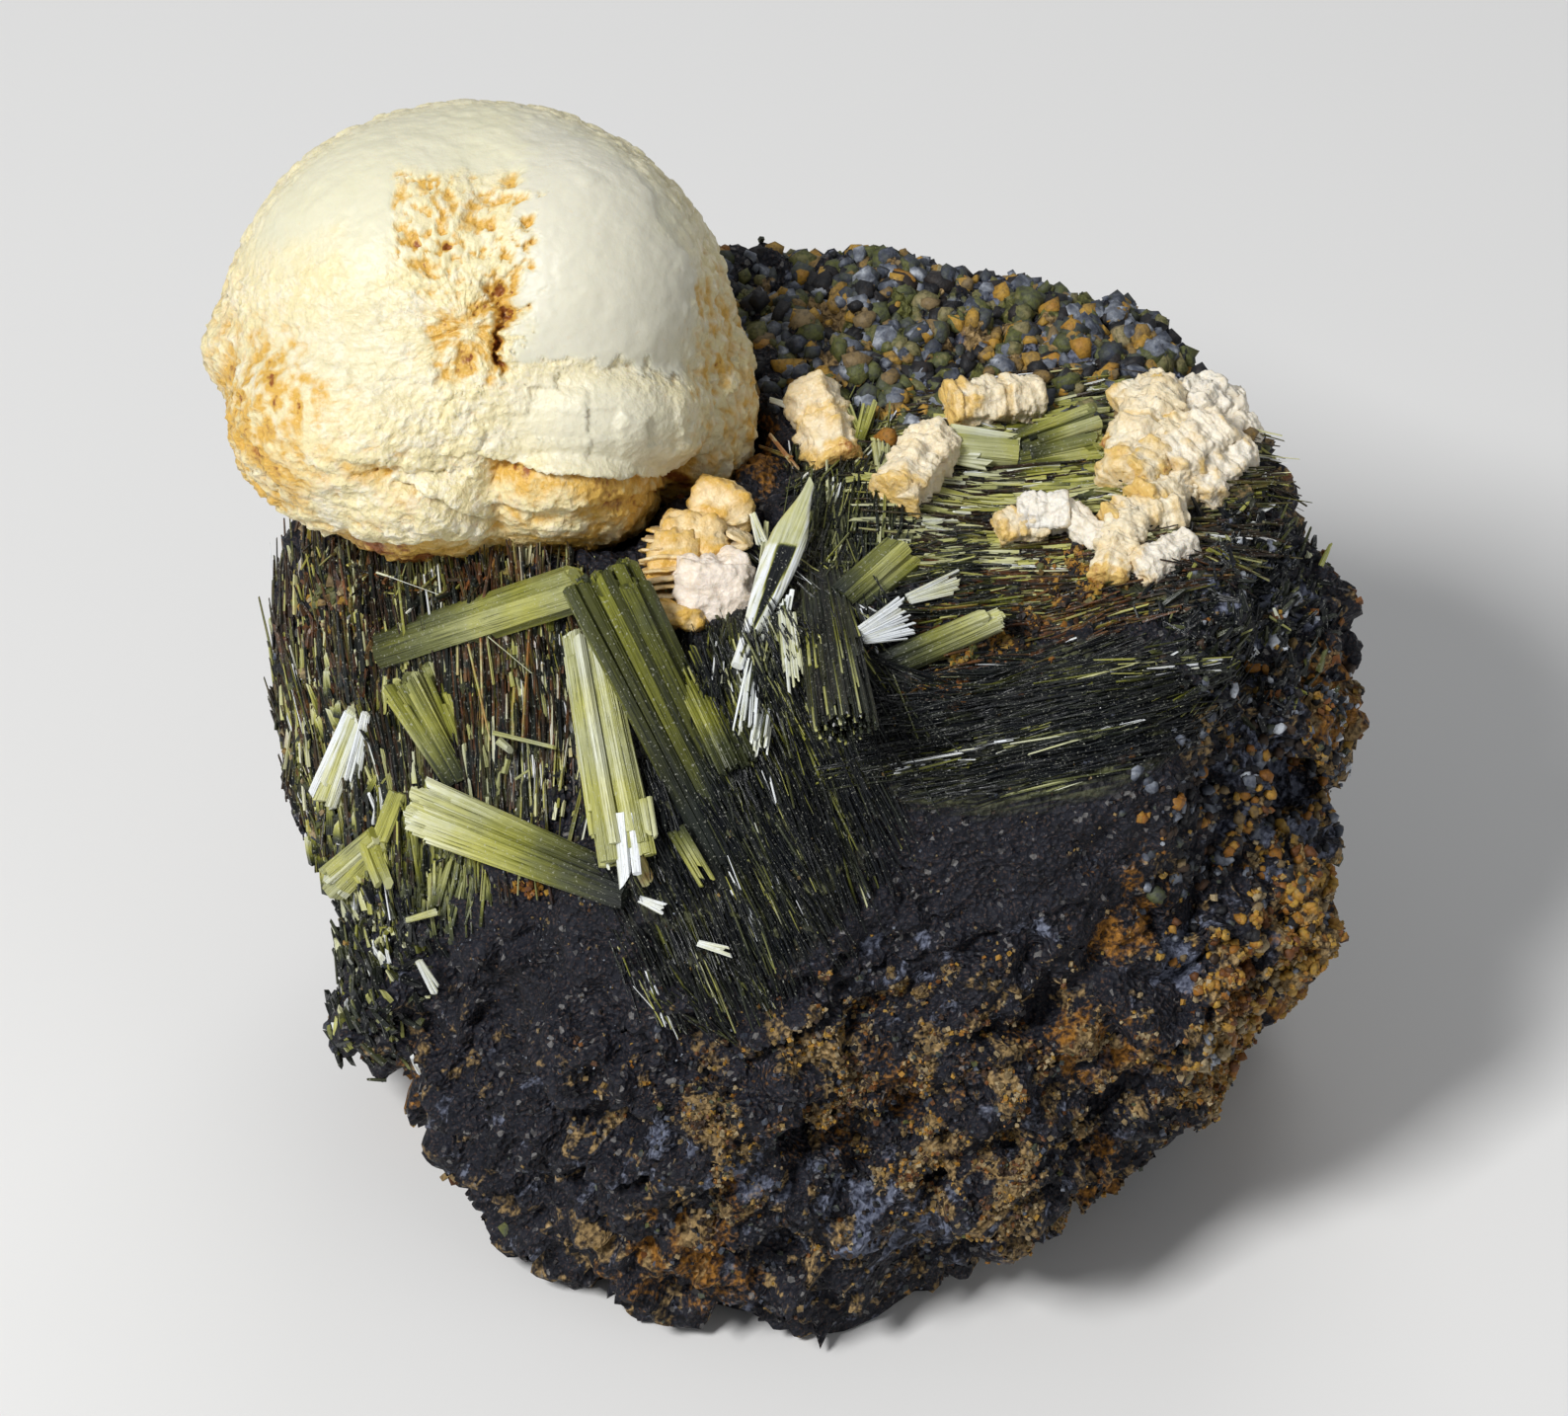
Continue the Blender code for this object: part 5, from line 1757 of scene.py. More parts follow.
@dataclass
class Barrel:
    """One barrel crystal of stacked plates: its foot, head, lifts and radius."""

    foot: tuple[float, float]
    head: tuple[float, float]
    foot_lift: float
    head_lift: float
    radius: float
    stain: float = 0.1
    white: float = 0.0
    plate: float = 0.36
    rows: int = 72
    columns: int = 60

    def surface(self, ground: Ground, noise: Noise, number: int) -> Surface:
        """A turned outline of thin plates with ragged rims, closed at both ends.

        Args:
            ground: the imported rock.
            noise: the noise that roughens the plates.
            number: tells this barrel's noise from the others'.
        Returns:
            The barrel's surface, its stain deepest at the foot.
        """
        start = ground.place(*self.foot, self.foot_lift)
        end = ground.place(*self.head, self.head_lift)
        along = unit(end - start)
        side = sideways(along)
        face = np.cross(along, side)
        length = np.linalg.norm(end - start)
        middle = np.linspace(0.0, 1.0, self.rows - 6)
        level = np.concatenate(((0.0, 0.0, 0.0), middle, (1.0, 1.0, 1.0)))
        cap = np.ones(self.rows)
        cap[:3] = (0.0, 0.4, 0.8)
        cap[-3:] = (0.8, 0.4, 0.0)
        level, turn = sweep(level, self.columns)
        where = np.stack((np.cos(turn), np.sin(turn), level * length * 0.9), axis=-1)
        where = where.reshape(-1, 3) + 11.0 * number
        rough = noise.fractal(where * 1.6, 3).reshape(level.shape)
        draw = np.random.default_rng(PLATE_SEED + number)
        plates = max(int(length / self.plate), 4)
        bent = np.clip(level * plates + 0.25 * rough, 0.0, plates - 0.01)
        index = bent.astype(int)
        groove = 1.0 - 0.03 * np.exp(-(((bent - index - 0.5) / 0.5) ** 8.0 - 1.0) ** 2.0 * 4.0)
        sides = draw.integers(5, 8)
        tilt = (number * 0.9 + draw.normal(0.0, 0.05, plates))[index]
        corner = math.pi / sides
        folded = np.mod(turn + tilt, 2.0 * corner) - corner
        polygon = math.cos(corner) / np.cos(folded)
        own = (1.0 + draw.normal(0.0, 0.06, plates))[index]
        ends = 1.0 - 0.1 * np.abs(level * 2.0 - 1.0) ** 8.0
        fine = noise.fractal(where * 4.5 + 2.0, 2).reshape(level.shape)
        radius = self.radius * 1.1 * ends * polygon * own * groove
        radius = radius * (1.0 + 0.2 * rough + 0.08 * fine) * cap[:, None]
        uneven = 0.1 * noise.fractal(where * 2.3 + 5.0, 2).reshape(level.shape)
        uneven = uneven * (cap < 1.0)[:, None]
        axial = (level * length + uneven)[..., None] * along
        places = start + axial + (radius * np.cos(turn))[..., None] * side
        places = places + (radius * np.sin(turn))[..., None] * face
        foot = eased(0.24 - level + 0.16 * rough, -0.08, 0.22)
        stain = self.stain + 0.3 * foot + 0.25 * rough
        stain += 2.2 * (0.99 - groove) + (draw.random(plates) ** 3.0 * 0.3)[index]
        values = {
            "stain": np.clip(stain, 0.0, 1.1),
            "rough": np.full(level.shape, 0.75),
            "white": np.full(level.shape, self.white),
        }
        pole = places.copy()
        pole[0] = places[0].mean(axis=0)
        pole[-1] = places[-1].mean(axis=0)
        return Surface.grid(pole, values)


@dataclass
class BarrelGroup:
    """Barrels that grew together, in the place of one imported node."""

    node: str
    barrels: tuple[Barrel, ...]

    def build(self, ground: Ground, finish: Material, seed: int) -> Object:
        """Builds the group's barrels.

        Args:
            ground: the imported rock.
            finish: the barrels' material.
            seed: the seed of the random numbers.
        Returns:
            The barrels as one piece.
        """
        noise = Noise(seed)
        parts = [barrel.surface(ground, noise, n) for n, barrel in enumerate(self.barrels)]
        name = self.node + "_plates"
        return Surface.joined(parts).piece(name, finish, True, "cream_prehnite", self.node)


@dataclass
class Rosette:
    """The granular body under the ball on its right, with thin plates fanned over it."""

    seed: int = 8
    rows: int = 38
    columns: int = 64
    power: float = 4.0
    # Middle (across, up, lift), half sizes (across, up, toward), tilts in degrees, stain
    plates: tuple[tuple[tuple[float, float, float], tuple[float, float, float],
                        tuple[float, float, float], float], ...] = (
        ((-2.9, 4.7, 0.75), (1.5, 1.35, 1.1), (10, 8, -10), 0.0),
        ((-2.2, 5.6, 0.9), (0.8, 0.7, 0.8), (20, 20, 24), 0.0),
        ((-3.8, 6.3, 0.5), (1.35, 1.5, 0.9), (0, 0, -8), 0.4),
        ((-2.7, 7.6, 0.5), (1.25, 1.5, 0.8), (0, 0, -16), 0.4),
        ((-4.3, 3.7, 0.6), (1.1, 0.5, 0.9), (0, 0, -12), 0.6),
        ((-4.5, 5.5, 0.5), (1.0, 1.7, 0.9), (0, 0, -4), 0.5),
        ((-4.9, 4.2, 0.75), (0.85, 0.1, 1.0), (8, 4, -10), 0.42),
        ((-4.9, 4.55, 0.8), (0.9, 0.09, 1.05), (4, 8, -4), 0.3),
        ((-3.1, 9.0, 0.3), (1.2, 0.7, 0.7), (0, 0, -6), 0.6),
        ((-4.9, 4.95, 0.8), (0.95, 0.09, 1.1), (4, 8, 12), 0.3),
        ((-4.8, 5.3, 0.9), (1.0, 0.1, 1.1), (6, 6, 9), 0.25),
        ((-4.75, 5.65, 0.9), (1.05, 0.08, 1.1), (3, 12, 6), 0.36),
        ((-4.7, 6.0, 0.95), (1.05, 0.11, 1.1), (-6, 4, 3), 0.24),
        ((-4.65, 6.35, 0.95), (1.1, 0.08, 1.1), (-2, 8, -2), 0.34),
        ((-4.5, 6.75, 1.0), (1.1, 0.11, 1.1), (6, -6, -6), 0.26),
        ((-4.3, 7.15, 1.0), (1.1, 0.09, 1.0), (12, 2, -5), 0.4),
        ((-3.8, 7.6, 0.9), (0.9, 0.1, 1.0), (8, 4, 6), 0.42),
        ((-2.3, 6.5, 1.1), (0.75, 0.12, 0.5), (16, 0, 5), 0.12),
        ((-1.8, 7.0, 1.0), (0.6, 0.1, 0.6), (28, 0, -30), 0.18),
        ((-2.9, 7.1, 1.1), (0.7, 0.09, 0.6), (18, 8, -12), 0.28),
        ((-2.1, 7.7, 1.1), (0.65, 0.09, 0.6), (26, 0, 12), 0.22),
        ((-3.0, 8.1, 1.1), (0.6, 0.08, 0.7), (38, 15, 25), 0.36),
        ((-2.2, 8.6, 1.0), (0.6, 0.08, 0.7), (42, -20, -15), 0.26),
        ((-1.7, 8.2, 0.9), (0.5, 0.08, 0.6), (60, 0, 75), 0.3),
        ((-3.4, 9.0, 0.8), (0.55, 0.08, 0.6), (50, 0, -40), 0.5),
        ((-2.6, 9.4, 0.7), (0.5, 0.08, 0.6), (60, 10, 60), 0.42),
        ((-1.9, 9.4, 0.7), (0.5, 0.07, 0.65), (55, 0, 20), 0.36),
        ((-4.2, 8.4, 0.6), (0.7, 0.3, 0.8), (0, 6, -30), 0.8),
    )

    def build(self, ground: Ground, finish: Material) -> Object:
        """Builds the plates.

        A plate is a rounded slab: each way from its middle is stretched until the fourth powers
        of its parts sum to one, then roughened and turned by its tilts.

        Args:
            ground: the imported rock.
            finish: the plates' material.
        Returns:
            The rosette as one piece.
        """
        noise = Noise(self.seed)
        polar, turn = sweep(np.linspace(0.0, math.pi, self.rows), self.columns)
        way = np.stack(
            (np.sin(polar) * np.cos(turn), np.cos(polar), -np.sin(polar) * np.sin(turn)), axis=-1
        )
        size = (np.abs(way) ** self.power).sum(axis=-1) ** (-1.0 / self.power)
        slab = way * size[..., None]
        parts = []
        for number, (middle, half, tilts, stain) in enumerate(self.plates):
            flat = (slab * half).reshape(-1, 3)
            jagged = noise.fractal(flat * 1.8 + 7.0 * number, 3)
            layers = noise.wave(flat * (0.6, 4.5, 0.6) + 3.0 * number)
            flat = flat * (1.0 + 0.15 * jagged + 0.05 * layers)[:, None]
            flat[:, 1] += 0.07 * noise.wave(flat * 1.1 + 5.0 * number)
            spin = Matrix.Identity(3)
            for axis, degrees in zip("XYZ", tilts):
                spin = spin @ Matrix.Rotation(math.radians(degrees), 3, axis)
            places = flat @ np.array(spin).T + ground.place(*middle)
            tint = stain + 0.25 * jagged + 0.2 * layers
            values = {
                "stain": np.clip(tint, 0.0, 1.1).reshape(polar.shape),
                "rough": np.full(polar.shape, 0.7),
                "white": np.full(polar.shape, max(0.0, 0.8 - 6.0 * stain)),
            }
            parts.append(Surface.grid(places.reshape(*polar.shape, 3), values))
        surface = Surface.joined(parts).turned_out()
        return surface.piece("rosette_plates", finish, True, "gold_prehnite", "prehnite_rosette")


@dataclass(frozen=True)
class Lamp:
    """A square soft light, with its side and its place in metres."""

    name: str
    watts: float
    side: float
    place: tuple[float, float, float]


@dataclass
class Studio:
    """The pale floor, the soft lights and the camera of the display view."""

    floor_half: float = 1.2
    sky_colour: Colour = (0.93, 0.96, 1.0)
    sky_strength: float = 0.25
    aim: tuple[float, float, float] = (0.0, 0.0, 0.02)
    lamps: tuple[Lamp, ...] = (
        Lamp("key", 1.9, 0.1, (-0.2, -0.22, 0.34)),
        Lamp("fill", 0.22, 0.3, (0.34, -0.26, 0.2)),
        Lamp("back", 0.3, 0.24, (0.06, 0.3, 0.32)),
    )

    def floor(self) -> None:
        """Lays a wide level floor under the specimen."""
        mesh = bpy.data.meshes.new("floor")
        half = self.floor_half
        corners = [(-half, -half, 0.0), (half, -half, 0.0), (half, half, 0.0), (-half, half, 0.0)]
        mesh.from_pydata(corners, [], [(0, 1, 2, 3)])
        obj = bpy.data.objects.new("floor", mesh)
        bpy.context.scene.collection.objects.link(obj)
        mesh.materials.append(FloorFinish().material())

    def light(self, lamp: Lamp) -> None:
        """Adds a light that points at the specimen.

        Args:
            lamp: the light to add.
        """
        light = bpy.data.lights.new(lamp.name, "AREA")
        light.energy = lamp.watts
        light.size = lamp.side
        obj = bpy.data.objects.new(lamp.name, light)
        bpy.context.scene.collection.objects.link(obj)
        obj.location = lamp.place
        way = Vector(self.aim) - Vector(lamp.place)
        obj.rotation_euler = way.to_track_quat("-Z", "Y").to_euler()

    def camera(self) -> None:
        """Sets the camera at the viewer's place in the display view."""
        lens = bpy.data.cameras.new("display_view")
        lens.sensor_width = SENSOR
        lens.lens = SENSOR * View.distance / (FRAME_WIDTH * PIXEL)
        lens.clip_start = 0.01
        obj = bpy.data.objects.new("display_view", lens)
        bpy.context.scene.collection.objects.link(obj)
        turn = Matrix(View.axes.T.tolist()).to_4x4()
        eye = View.to_object(np.array((0.0, 0.0, View.distance)))
        obj.matrix_world = Matrix.Translation(Vector(eye)) @ turn
        bpy.context.scene.camera = obj

    def build(self) -> None:
        """Sets up the whole studio."""
        self.floor()
        for lamp in self.lamps:
            self.light(lamp)
        world = bpy.data.worlds.new("studio")
        world.use_nodes = True
        sky = world.node_tree.nodes["Background"]
        sky.inputs["Color"].default_value = (*self.sky_colour, 1.0)
        sky.inputs["Strength"].default_value = self.sky_strength
        bpy.context.scene.world = world
        bpy.context.scene.view_settings.view_transform = "Standard"
        self.camera()


# The bundles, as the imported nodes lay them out
SPRAYS = (
    CrystalSpray(
        "green_spray_centre", (-2.0, -5.6), (-7.5, 5.5), -0.5, 1.9, 3.2, 2.2, 140, Mineral.DEEP_OLIVE,
        ragged=0.12, fan=0.0, hidden_root=1.2, slim=0.34, root_ragged=0.1,
    ),
    CrystalSpray(
        "yellow_spray", (-6.4, -6.2), (-8.1, 3.0), 1.2, 1.1, 2.4, 1.5, 80, Mineral.YELLOW,
        fan=-0.25, root_out=1.0, root_ragged=0.28, hidden_root=0.0, ragged=0.12, slim=0.36,
        slot="yellow_crystal",
    ),
    CrystalSpray(
        "green_spray_cross", (-16.0, 2.4), (-8.3, 4.9), 0.6, 2.4, 1.3, 0.9, 12, Mineral.OLIVE,
        slim=0.62, ragged=0.04, fan=0.0,
    ),
    CrystalSpray(
        "green_spray_low", (-6.6, -7.2), (-15.0, -3.8), 0.0, 2.0, 2.0, 1.4, 90, Mineral.PALE,
        fan=0.3, slim=0.32, ragged=0.2,
    ),
    CrystalSpray(
        "green_fan_left", (-13.2, -2.4), (-15.2, 1.4), 0.3, 1.7, 1.8, 1.1, 60, Mineral.OLIVE,
        fan=0.4, ragged=0.45, slim=0.26,
    ),
    CrystalSpray(
        "green_fan_edge", (-16.6, -5.2), (-18.6, -6.9), 0.4, 1.2, 1.5, 0.9, 9, Mineral.YELLOW,
        slim=0.75, ragged=0.3,
    ),
    CrystalSpray(
        "pale_fan_edge", (-17.2, -0.6), (-18.4, -4.0), 0.5, 1.3, 1.8, 1.0, 18, Mineral.MILKY,
        slim=0.46, ragged=0.4,
    ),
    CrystalSpray(
        "dark_bundle", (1.5, 5.0), (2.5, -0.9), 0.3, 1.2, 2.7, 1.4, 900, Mineral.SPECKLED, slim=0.085,
        ragged=0.6, slot="black_crystal", fan=0.0, root_ragged=0.3,
    ),
    CrystalSpray(
        "green_blade_ledge", (4.2, 1.7), (8.8, 3.7), 0.4, 1.9, 1.3, 1.0, 18, Mineral.PALE, slim=0.4,
        fan=-0.3,
    ),
    CrystalSpray(
        "green_spray_shelf", (9.7, 10.2), (12.9, 10.9), 0.5, 0.8, 2.8, 0.9, 60, Mineral.OLIVE,
        slim=0.34, root_ragged=0.4, ragged=0.3,
    ),
    CrystalSpray(
        "green_tablet_shelf", (9.0, 10.6), (6.6, 10.9), 0.7, 1.2, 1.3, 0.9, 8, Mineral.YELLOW,
        slim=0.75, ragged=0.05, fan=0.0,
    ),
    CrystalSpray(
        "green_tablet_ledge", (2.8, 4.4), (4.9, 6.2), 0.5, 1.0, 1.7, 0.9, 10, Mineral.OLIVE, slim=0.7,
        ragged=0.1, fan=0.0,
    ),
)

SINGLES = LooseCrystals("single_crystals", (
    Needle((-11.8, -1.0, 1.3), (-9.3, -1.6, 1.3), 0.22, 0.18, Mineral.YELLOW, 0.6),
    Needle((-12.8, 2.6, 1.0), (-11.9, -1.3, 0.9), 0.12, 0.1, Mineral.YELLOW, 0.4, 0.7),
    Needle((-12.3, 3.4, 0.8), (-12.2, -1.0, 0.7), 0.12, 0.1, Mineral.MILKY, 0.1, 0.9),
    Needle((-10.3, 3.2, 0.7), (-10.6, -1.4, 0.7), 0.16, 0.12, Mineral.OLIVE, 0.4, 0.8),
    Needle((-16.5, 5.5, 2.4), (-14.0, 4.6, 2.6), 0.04, 0.04, Mineral.MILKY, 0.8),
    Needle((-12.0, 2.9, 2.0), (-10.2, 1.4, 1.2), 0.05, 0.05, Mineral.MILKY, 0.5),
    Needle((-6.45, -4.2, 2.5), (-6.15, -7.3, 2.2), 0.95, 0.5, Mineral.SILVER, 0.97, count=2, fan=0.0),
    Needle((-7.1, -4.6, 2.3), (-7.0, -6.9, 1.9), 0.4, 0.3, Mineral.YELLOW, 0.9, count=2, fan=0.0),
    Needle((-5.6, -3.6, 1.9), (-5.3, -5.4, 1.6), 0.5, 0.24, Mineral.YELLOW, 0.7, count=2, fan=0.0),
    Needle((-16.9, -0.2, 1.0), (-17.5, -3.0, 1.4), 0.7, 0.3, Mineral.SILVER, 0.8, count=4),
    Needle((-15.6, -3.4, 1.0), (-16.4, -5.4, 1.3), 0.7, 0.3, Mineral.YELLOW, 0.1, count=2, fan=0.0),
    Needle((-16.9, -5.4, 1.0), (-16.2, -7.2, 1.4), 0.8, 0.4, Mineral.YELLOW, 0.2, count=2, fan=0.0),
    Needle((-11.6, -1.3, 1.3), (-11.1, -1.7, 1.3), 0.4, 0.36, Mineral.YELLOW, 0.9),
    Needle((-10.9, -2.9, 1.0), (-10.3, -2.5, 1.0), 0.12, 0.12, Mineral.YELLOW, 0.2),
    Needle((3.1, 2.9, 1.3), (5.2, 3.8, 1.6), 1.7, 0.2, Mineral.SILVER, 0.9, count=15),
    Needle((5.0, 4.4, 1.0), (7.2, 5.2, 1.0), 0.9, 0.15, Mineral.SILVER, 0.45, count=7),
    Needle((2.9, 10.4, 0.9), (3.6, 12.8, 1.4), 0.6, 0.24, Mineral.OLIVE, 0.7, count=3),
    Needle((3.3, 10.6, 0.9), (2.6, 12.3, 1.3), 0.3, 0.2, Mineral.OLIVE, 0.6, count=2),
    Needle((4.0, 9.2, 0.8), (3.9, 11.6, 1.0), 0.8, 0.24, Mineral.YELLOW, 0.5, count=4),
    Needle((6.2, 10.2, 1.0), (8.4, 9.9, 1.0), 0.7, 0.3, Mineral.YELLOW, 0.8, count=3),
    Needle((15.2, 11.2, 1.8), (16.8, 9.6, 1.8), 0.6, 0.3, Mineral.YELLOW, 0.2, count=3),
    Needle((14.6, 10.8, 1.8), (16.0, 9.2, 1.7), 0.5, 0.3, Mineral.OLIVE, 0.9, count=2),
    Needle((-1.3, 7.9, 1.6), (-0.8, 6.4, 1.4), 0.5, 0.24, Mineral.MILKY, 0.7, count=4),
    Needle((-0.7, 7.6, 1.2), (-0.9, 5.6, 1.1), 0.3, 0.14, Mineral.MILKY, 0.5, count=3),
    Needle((0.1, 4.0, 1.9), (0.5, 0.5, 1.8), 0.8, 0.1, Mineral.MILKY, 0.5, count=8, fan=0.2),
    Needle((-1.7, -2.5, 0.8), (-4.0, 2.5, 1.4), 1.8, 0.45, Mineral.OLIVE, 0.25, count=14, fan=0.1),
    Needle((-4.4, -4.9, 1.3), (-3.1, -7.1, 1.1), 0.7, 0.3, Mineral.OLIVE, 0.8, count=4, fan=0.0),
    # Bright silver chips where a white glint shows: pale chips that also serve as a painted glint
    Needle((-5.9, -7.7, 1.0), (-4.7, -8.2, 0.9), 0.5, 0.2, Mineral.SILVER, 0.8, count=4),
    Needle((-6.0, -6.0, 1.1), (-5.4, -7.2, 0.9), 0.6, 0.4, Mineral.YELLOW, 0.3, 0.6, count=2, fan=0.0),
    Needle((1.5, 0.3, 1.6), (1.7, -0.9, 1.5), 0.8, 0.3, Mineral.MILKY, 0.45, count=3, fan=0.1),
    Needle((2.5, 0.1, 1.5), (2.6, -0.9, 1.4), 0.4, 0.3, Mineral.YELLOW, 0.5, count=2, fan=0.0),
    Needle((3.1, 0.9, 1.4), (3.4, -0.7, 1.3), 0.2, 0.2, Mineral.SILVER, 0.7),
    Needle((-3.5, -9.5, 0.8), (-2.1, -9.9, 0.8), 0.4, 0.14, Mineral.SILVER, 0.5, count=3),
    Needle((-14.8, -10.2, 0.9), (-14.0, -11.6, 0.9), 0.5, 0.2, Mineral.MILKY, 0.8, count=3),
    Needle((-15.3, -8.6, 0.9), (-13.9, -8.2, 0.9), 0.3, 0.2, Mineral.YELLOW, 0.5, count=2),
    Needle((-1.4, 13.6, 1.4), (-0.9, 12.0, 1.2), 0.4, 0.3, Mineral.OLIVE, 0.5, 0.8, count=3),
    Needle((-0.6, 12.5, 1.0), (0.6, 12.1, 1.0), 0.3, 0.15, Mineral.SILVER, 0.4, count=3),
    Needle((-1.0, 10.6, 1.2), (0.4, 10.1, 1.0), 0.2, 0.16, Mineral.YELLOW, 0.5, 0.9, count=2),
    Needle((-0.6, 11.1, 1.0), (0.6, 9.6, 0.9), 0.2, 0.16, Mineral.MILKY, 0.4, 0.9, count=2),
))

BARRELS = (
    BarrelGroup("prehnite_barrel_left", (Barrel((2.3, 9.7), (1.0, 12.9), 0.5, 1.1, 1.05, 0.24),)),
    BarrelGroup("prehnite_barrel_middle", (Barrel((4.4, 8.5), (6.3, 10.9), 0.9, 1.0, 1.05, 0.0),)),
    BarrelGroup("prehnite_barrel_back", (Barrel((6.6, 12.2), (10.3, 12.6), 0.9, 0.9, 0.9),)),
    BarrelGroup("prehnite_arch", (
        Barrel((8.6, 7.2), (10.5, 7.6), 0.8, 1.2, 0.75, 0.2),
        Barrel((9.5, 7.8), (11.6, 8.0), 1.3, 1.5, 0.8, -0.3, 0.62),
        Barrel((11.3, 8.1), (12.9, 6.6), 1.4, 0.7, 0.62, -0.2, 0.4),
    )),
    BarrelGroup("prehnite_cluster", (
        Barrel((13.1, 7.2), (16.0, 8.0), 0.9, 1.0, 0.95),
        Barrel((13.1, 5.0), (14.0, 7.6), 0.6, 1.2, 0.85),
        Barrel((14.2, 5.4), (16.4, 6.5), 0.7, 0.9, 0.8, -0.1, 0.5),
        Barrel((13.6, 9.0), (15.4, 12.6), 0.9, 0.9, 1.15),
        Barrel((14.8, 12.4), (18.4, 12.0), 0.8, 0.7, 1.1, 0.0, 0.4),
        Barrel((15.4, 9.6), (17.6, 11.2), 1.3, 1.5, 1.25, 0.0, 0.3),
        Barrel((16.6, 8.6), (18.6, 10.6), 0.6, 0.9, 1.0, 0.0, 0.4),
        Barrel((13.4, 12.0), (15.6, 12.9), 0.6, 0.9, 0.9),
        Barrel((14.4, 8.2), (16.6, 9.6), 0.7, 0.8, 0.9),
        Barrel((13.4, 10.2), (14.8, 12.2), 0.6, 0.9, 0.8, 0.25),
        Barrel((15.8, 11.0), (17.6, 12.9), 0.9, 0.9, 0.9, -0.1, 0.4),
        Barrel((17.0, 10.4), (18.8, 11.4), 0.8, 0.7, 0.8, -0.1, 0.4),
        Barrel((14.2, 9.2), (16.2, 11.4), 1.3, 1.4, 0.9, 0.2),
    )),
)

FELT_LEFT = NeedleFelt("felt_left", (
    FeltZone(Patch(-14.2, 0.4, 6.6, 6.4), 89.0, 3600, Mineral.FELT, (1.4, 4.4), (0.07, 0.2),
             spread=3.5, lift=(0.0, 6.0), fan=1.0, rust=0.1),
    FeltZone(Patch(-10.6, 1.4, 2.6, 4.0), 88.0, 600, Mineral.RUSTY_FELT, (2.0, 5.0), (0.07, 0.18),
             spread=2.5, lift=(0.0, 5.0), rust=0.35),
    FeltZone(Patch(-13.6, 0.6, 5.6, 5.0), 88.0, 620, Mineral.BLACK, (1.4, 4.0), (0.16, 0.4),
             spread=3.0, lift=(0.0, 6.0)),
    FeltZone(Patch(-14.0, 1.6, 6.0, 4.6), 89.0, 520, Mineral.YELLOW, (0.8, 2.6), (0.1, 0.32),
             spread=6.0, lift=(0.0, 7.0)),
    FeltZone(Patch(-9.0, 1.0, 1.6, 4.4), 86.0, 160, Mineral.MILKY, (0.8, 2.6), (0.08, 0.22),
             spread=5.0, lift=(0.0, 7.0), rust=0.3),
    FeltZone(Patch(-18.0, 2.0, 2.2, 7.0), 76.0, 900, Mineral.FELT, (0.6, 2.0), (0.12, 0.34),
             spread=22.0, lift=(0.0, 18.0), rust=0.3),
    FeltZone(Patch(-17.8, -3.4, 1.6, 4.0), 68.0, 130, Mineral.PALE, (0.8, 2.0), (0.3, 0.7),
             spread=22.0, lift=(0.0, 18.0)),
    FeltZone(Patch(-17.0, -6.4, 3.0, 5.0), 66.0, 900, Mineral.FELT, (0.6, 2.2), (0.1, 0.3),
             spread=30.0, lift=(0.0, 20.0)),
    FeltZone(Patch(-13.9, -6.2, 2.0, 2.2), 86.0, 460, Mineral.OLIVE, (1.0, 2.6), (0.1, 0.3),
             spread=9.0),
    FeltZone(Patch(-17.0, -11.0, 2.4, 4.2), 74.0, 480, Mineral.FELT, (0.5, 1.5), (0.16, 0.5),
             spread=40.0, lift=(0.0, 25.0)),
    FeltZone(Patch(-16.4, -8.6, 2.6, 3.0), 70.0, 90, Mineral.MILKY, (0.4, 1.2), (0.16, 0.44),
             spread=50.0, lift=(0.0, 25.0)),
    FeltZone(Patch(-13.2, 5.2, 4.6, 1.4), 88.0, 420, Mineral.RUSTY_FELT, (0.8, 2.0), (0.08, 0.22),
             spread=6.0, lift=(0.0, 7.0), rust=0.6),
), 31)

FELT_CENTRE = NeedleFelt("felt_centre", (
    FeltZone(Patch(-0.8, -3.6, 4.0, 7.4, -22.0), -66.0, 4200, Mineral.DARK_FELT, (1.6, 5.0),
             (0.05, 0.13), spread=3.5, lift=(0.0, 5.0), both_ways=True),
    FeltZone(Patch(-1.0, 1.4, 3.2, 4.2), -72.0, 1000, Mineral.FELT, (1.4, 4.0), (0.06, 0.15),
             spread=5.0, lift=(0.0, 6.0), both_ways=True),
    FeltZone(Patch(2.6, 7.6, 2.0, 4.0), 84.0, 900, Mineral.FELT, (1.2, 3.4), spread=7.0),
    FeltZone(Patch(9.0, -0.4, 6.4, 2.2, 8.0), 12.0, 3500, Mineral.DARK_FELT, (1.6, 5.0),
             (0.05, 0.13), spread=3.5, lift=(0.0, 4.0), both_ways=True),
), 32)

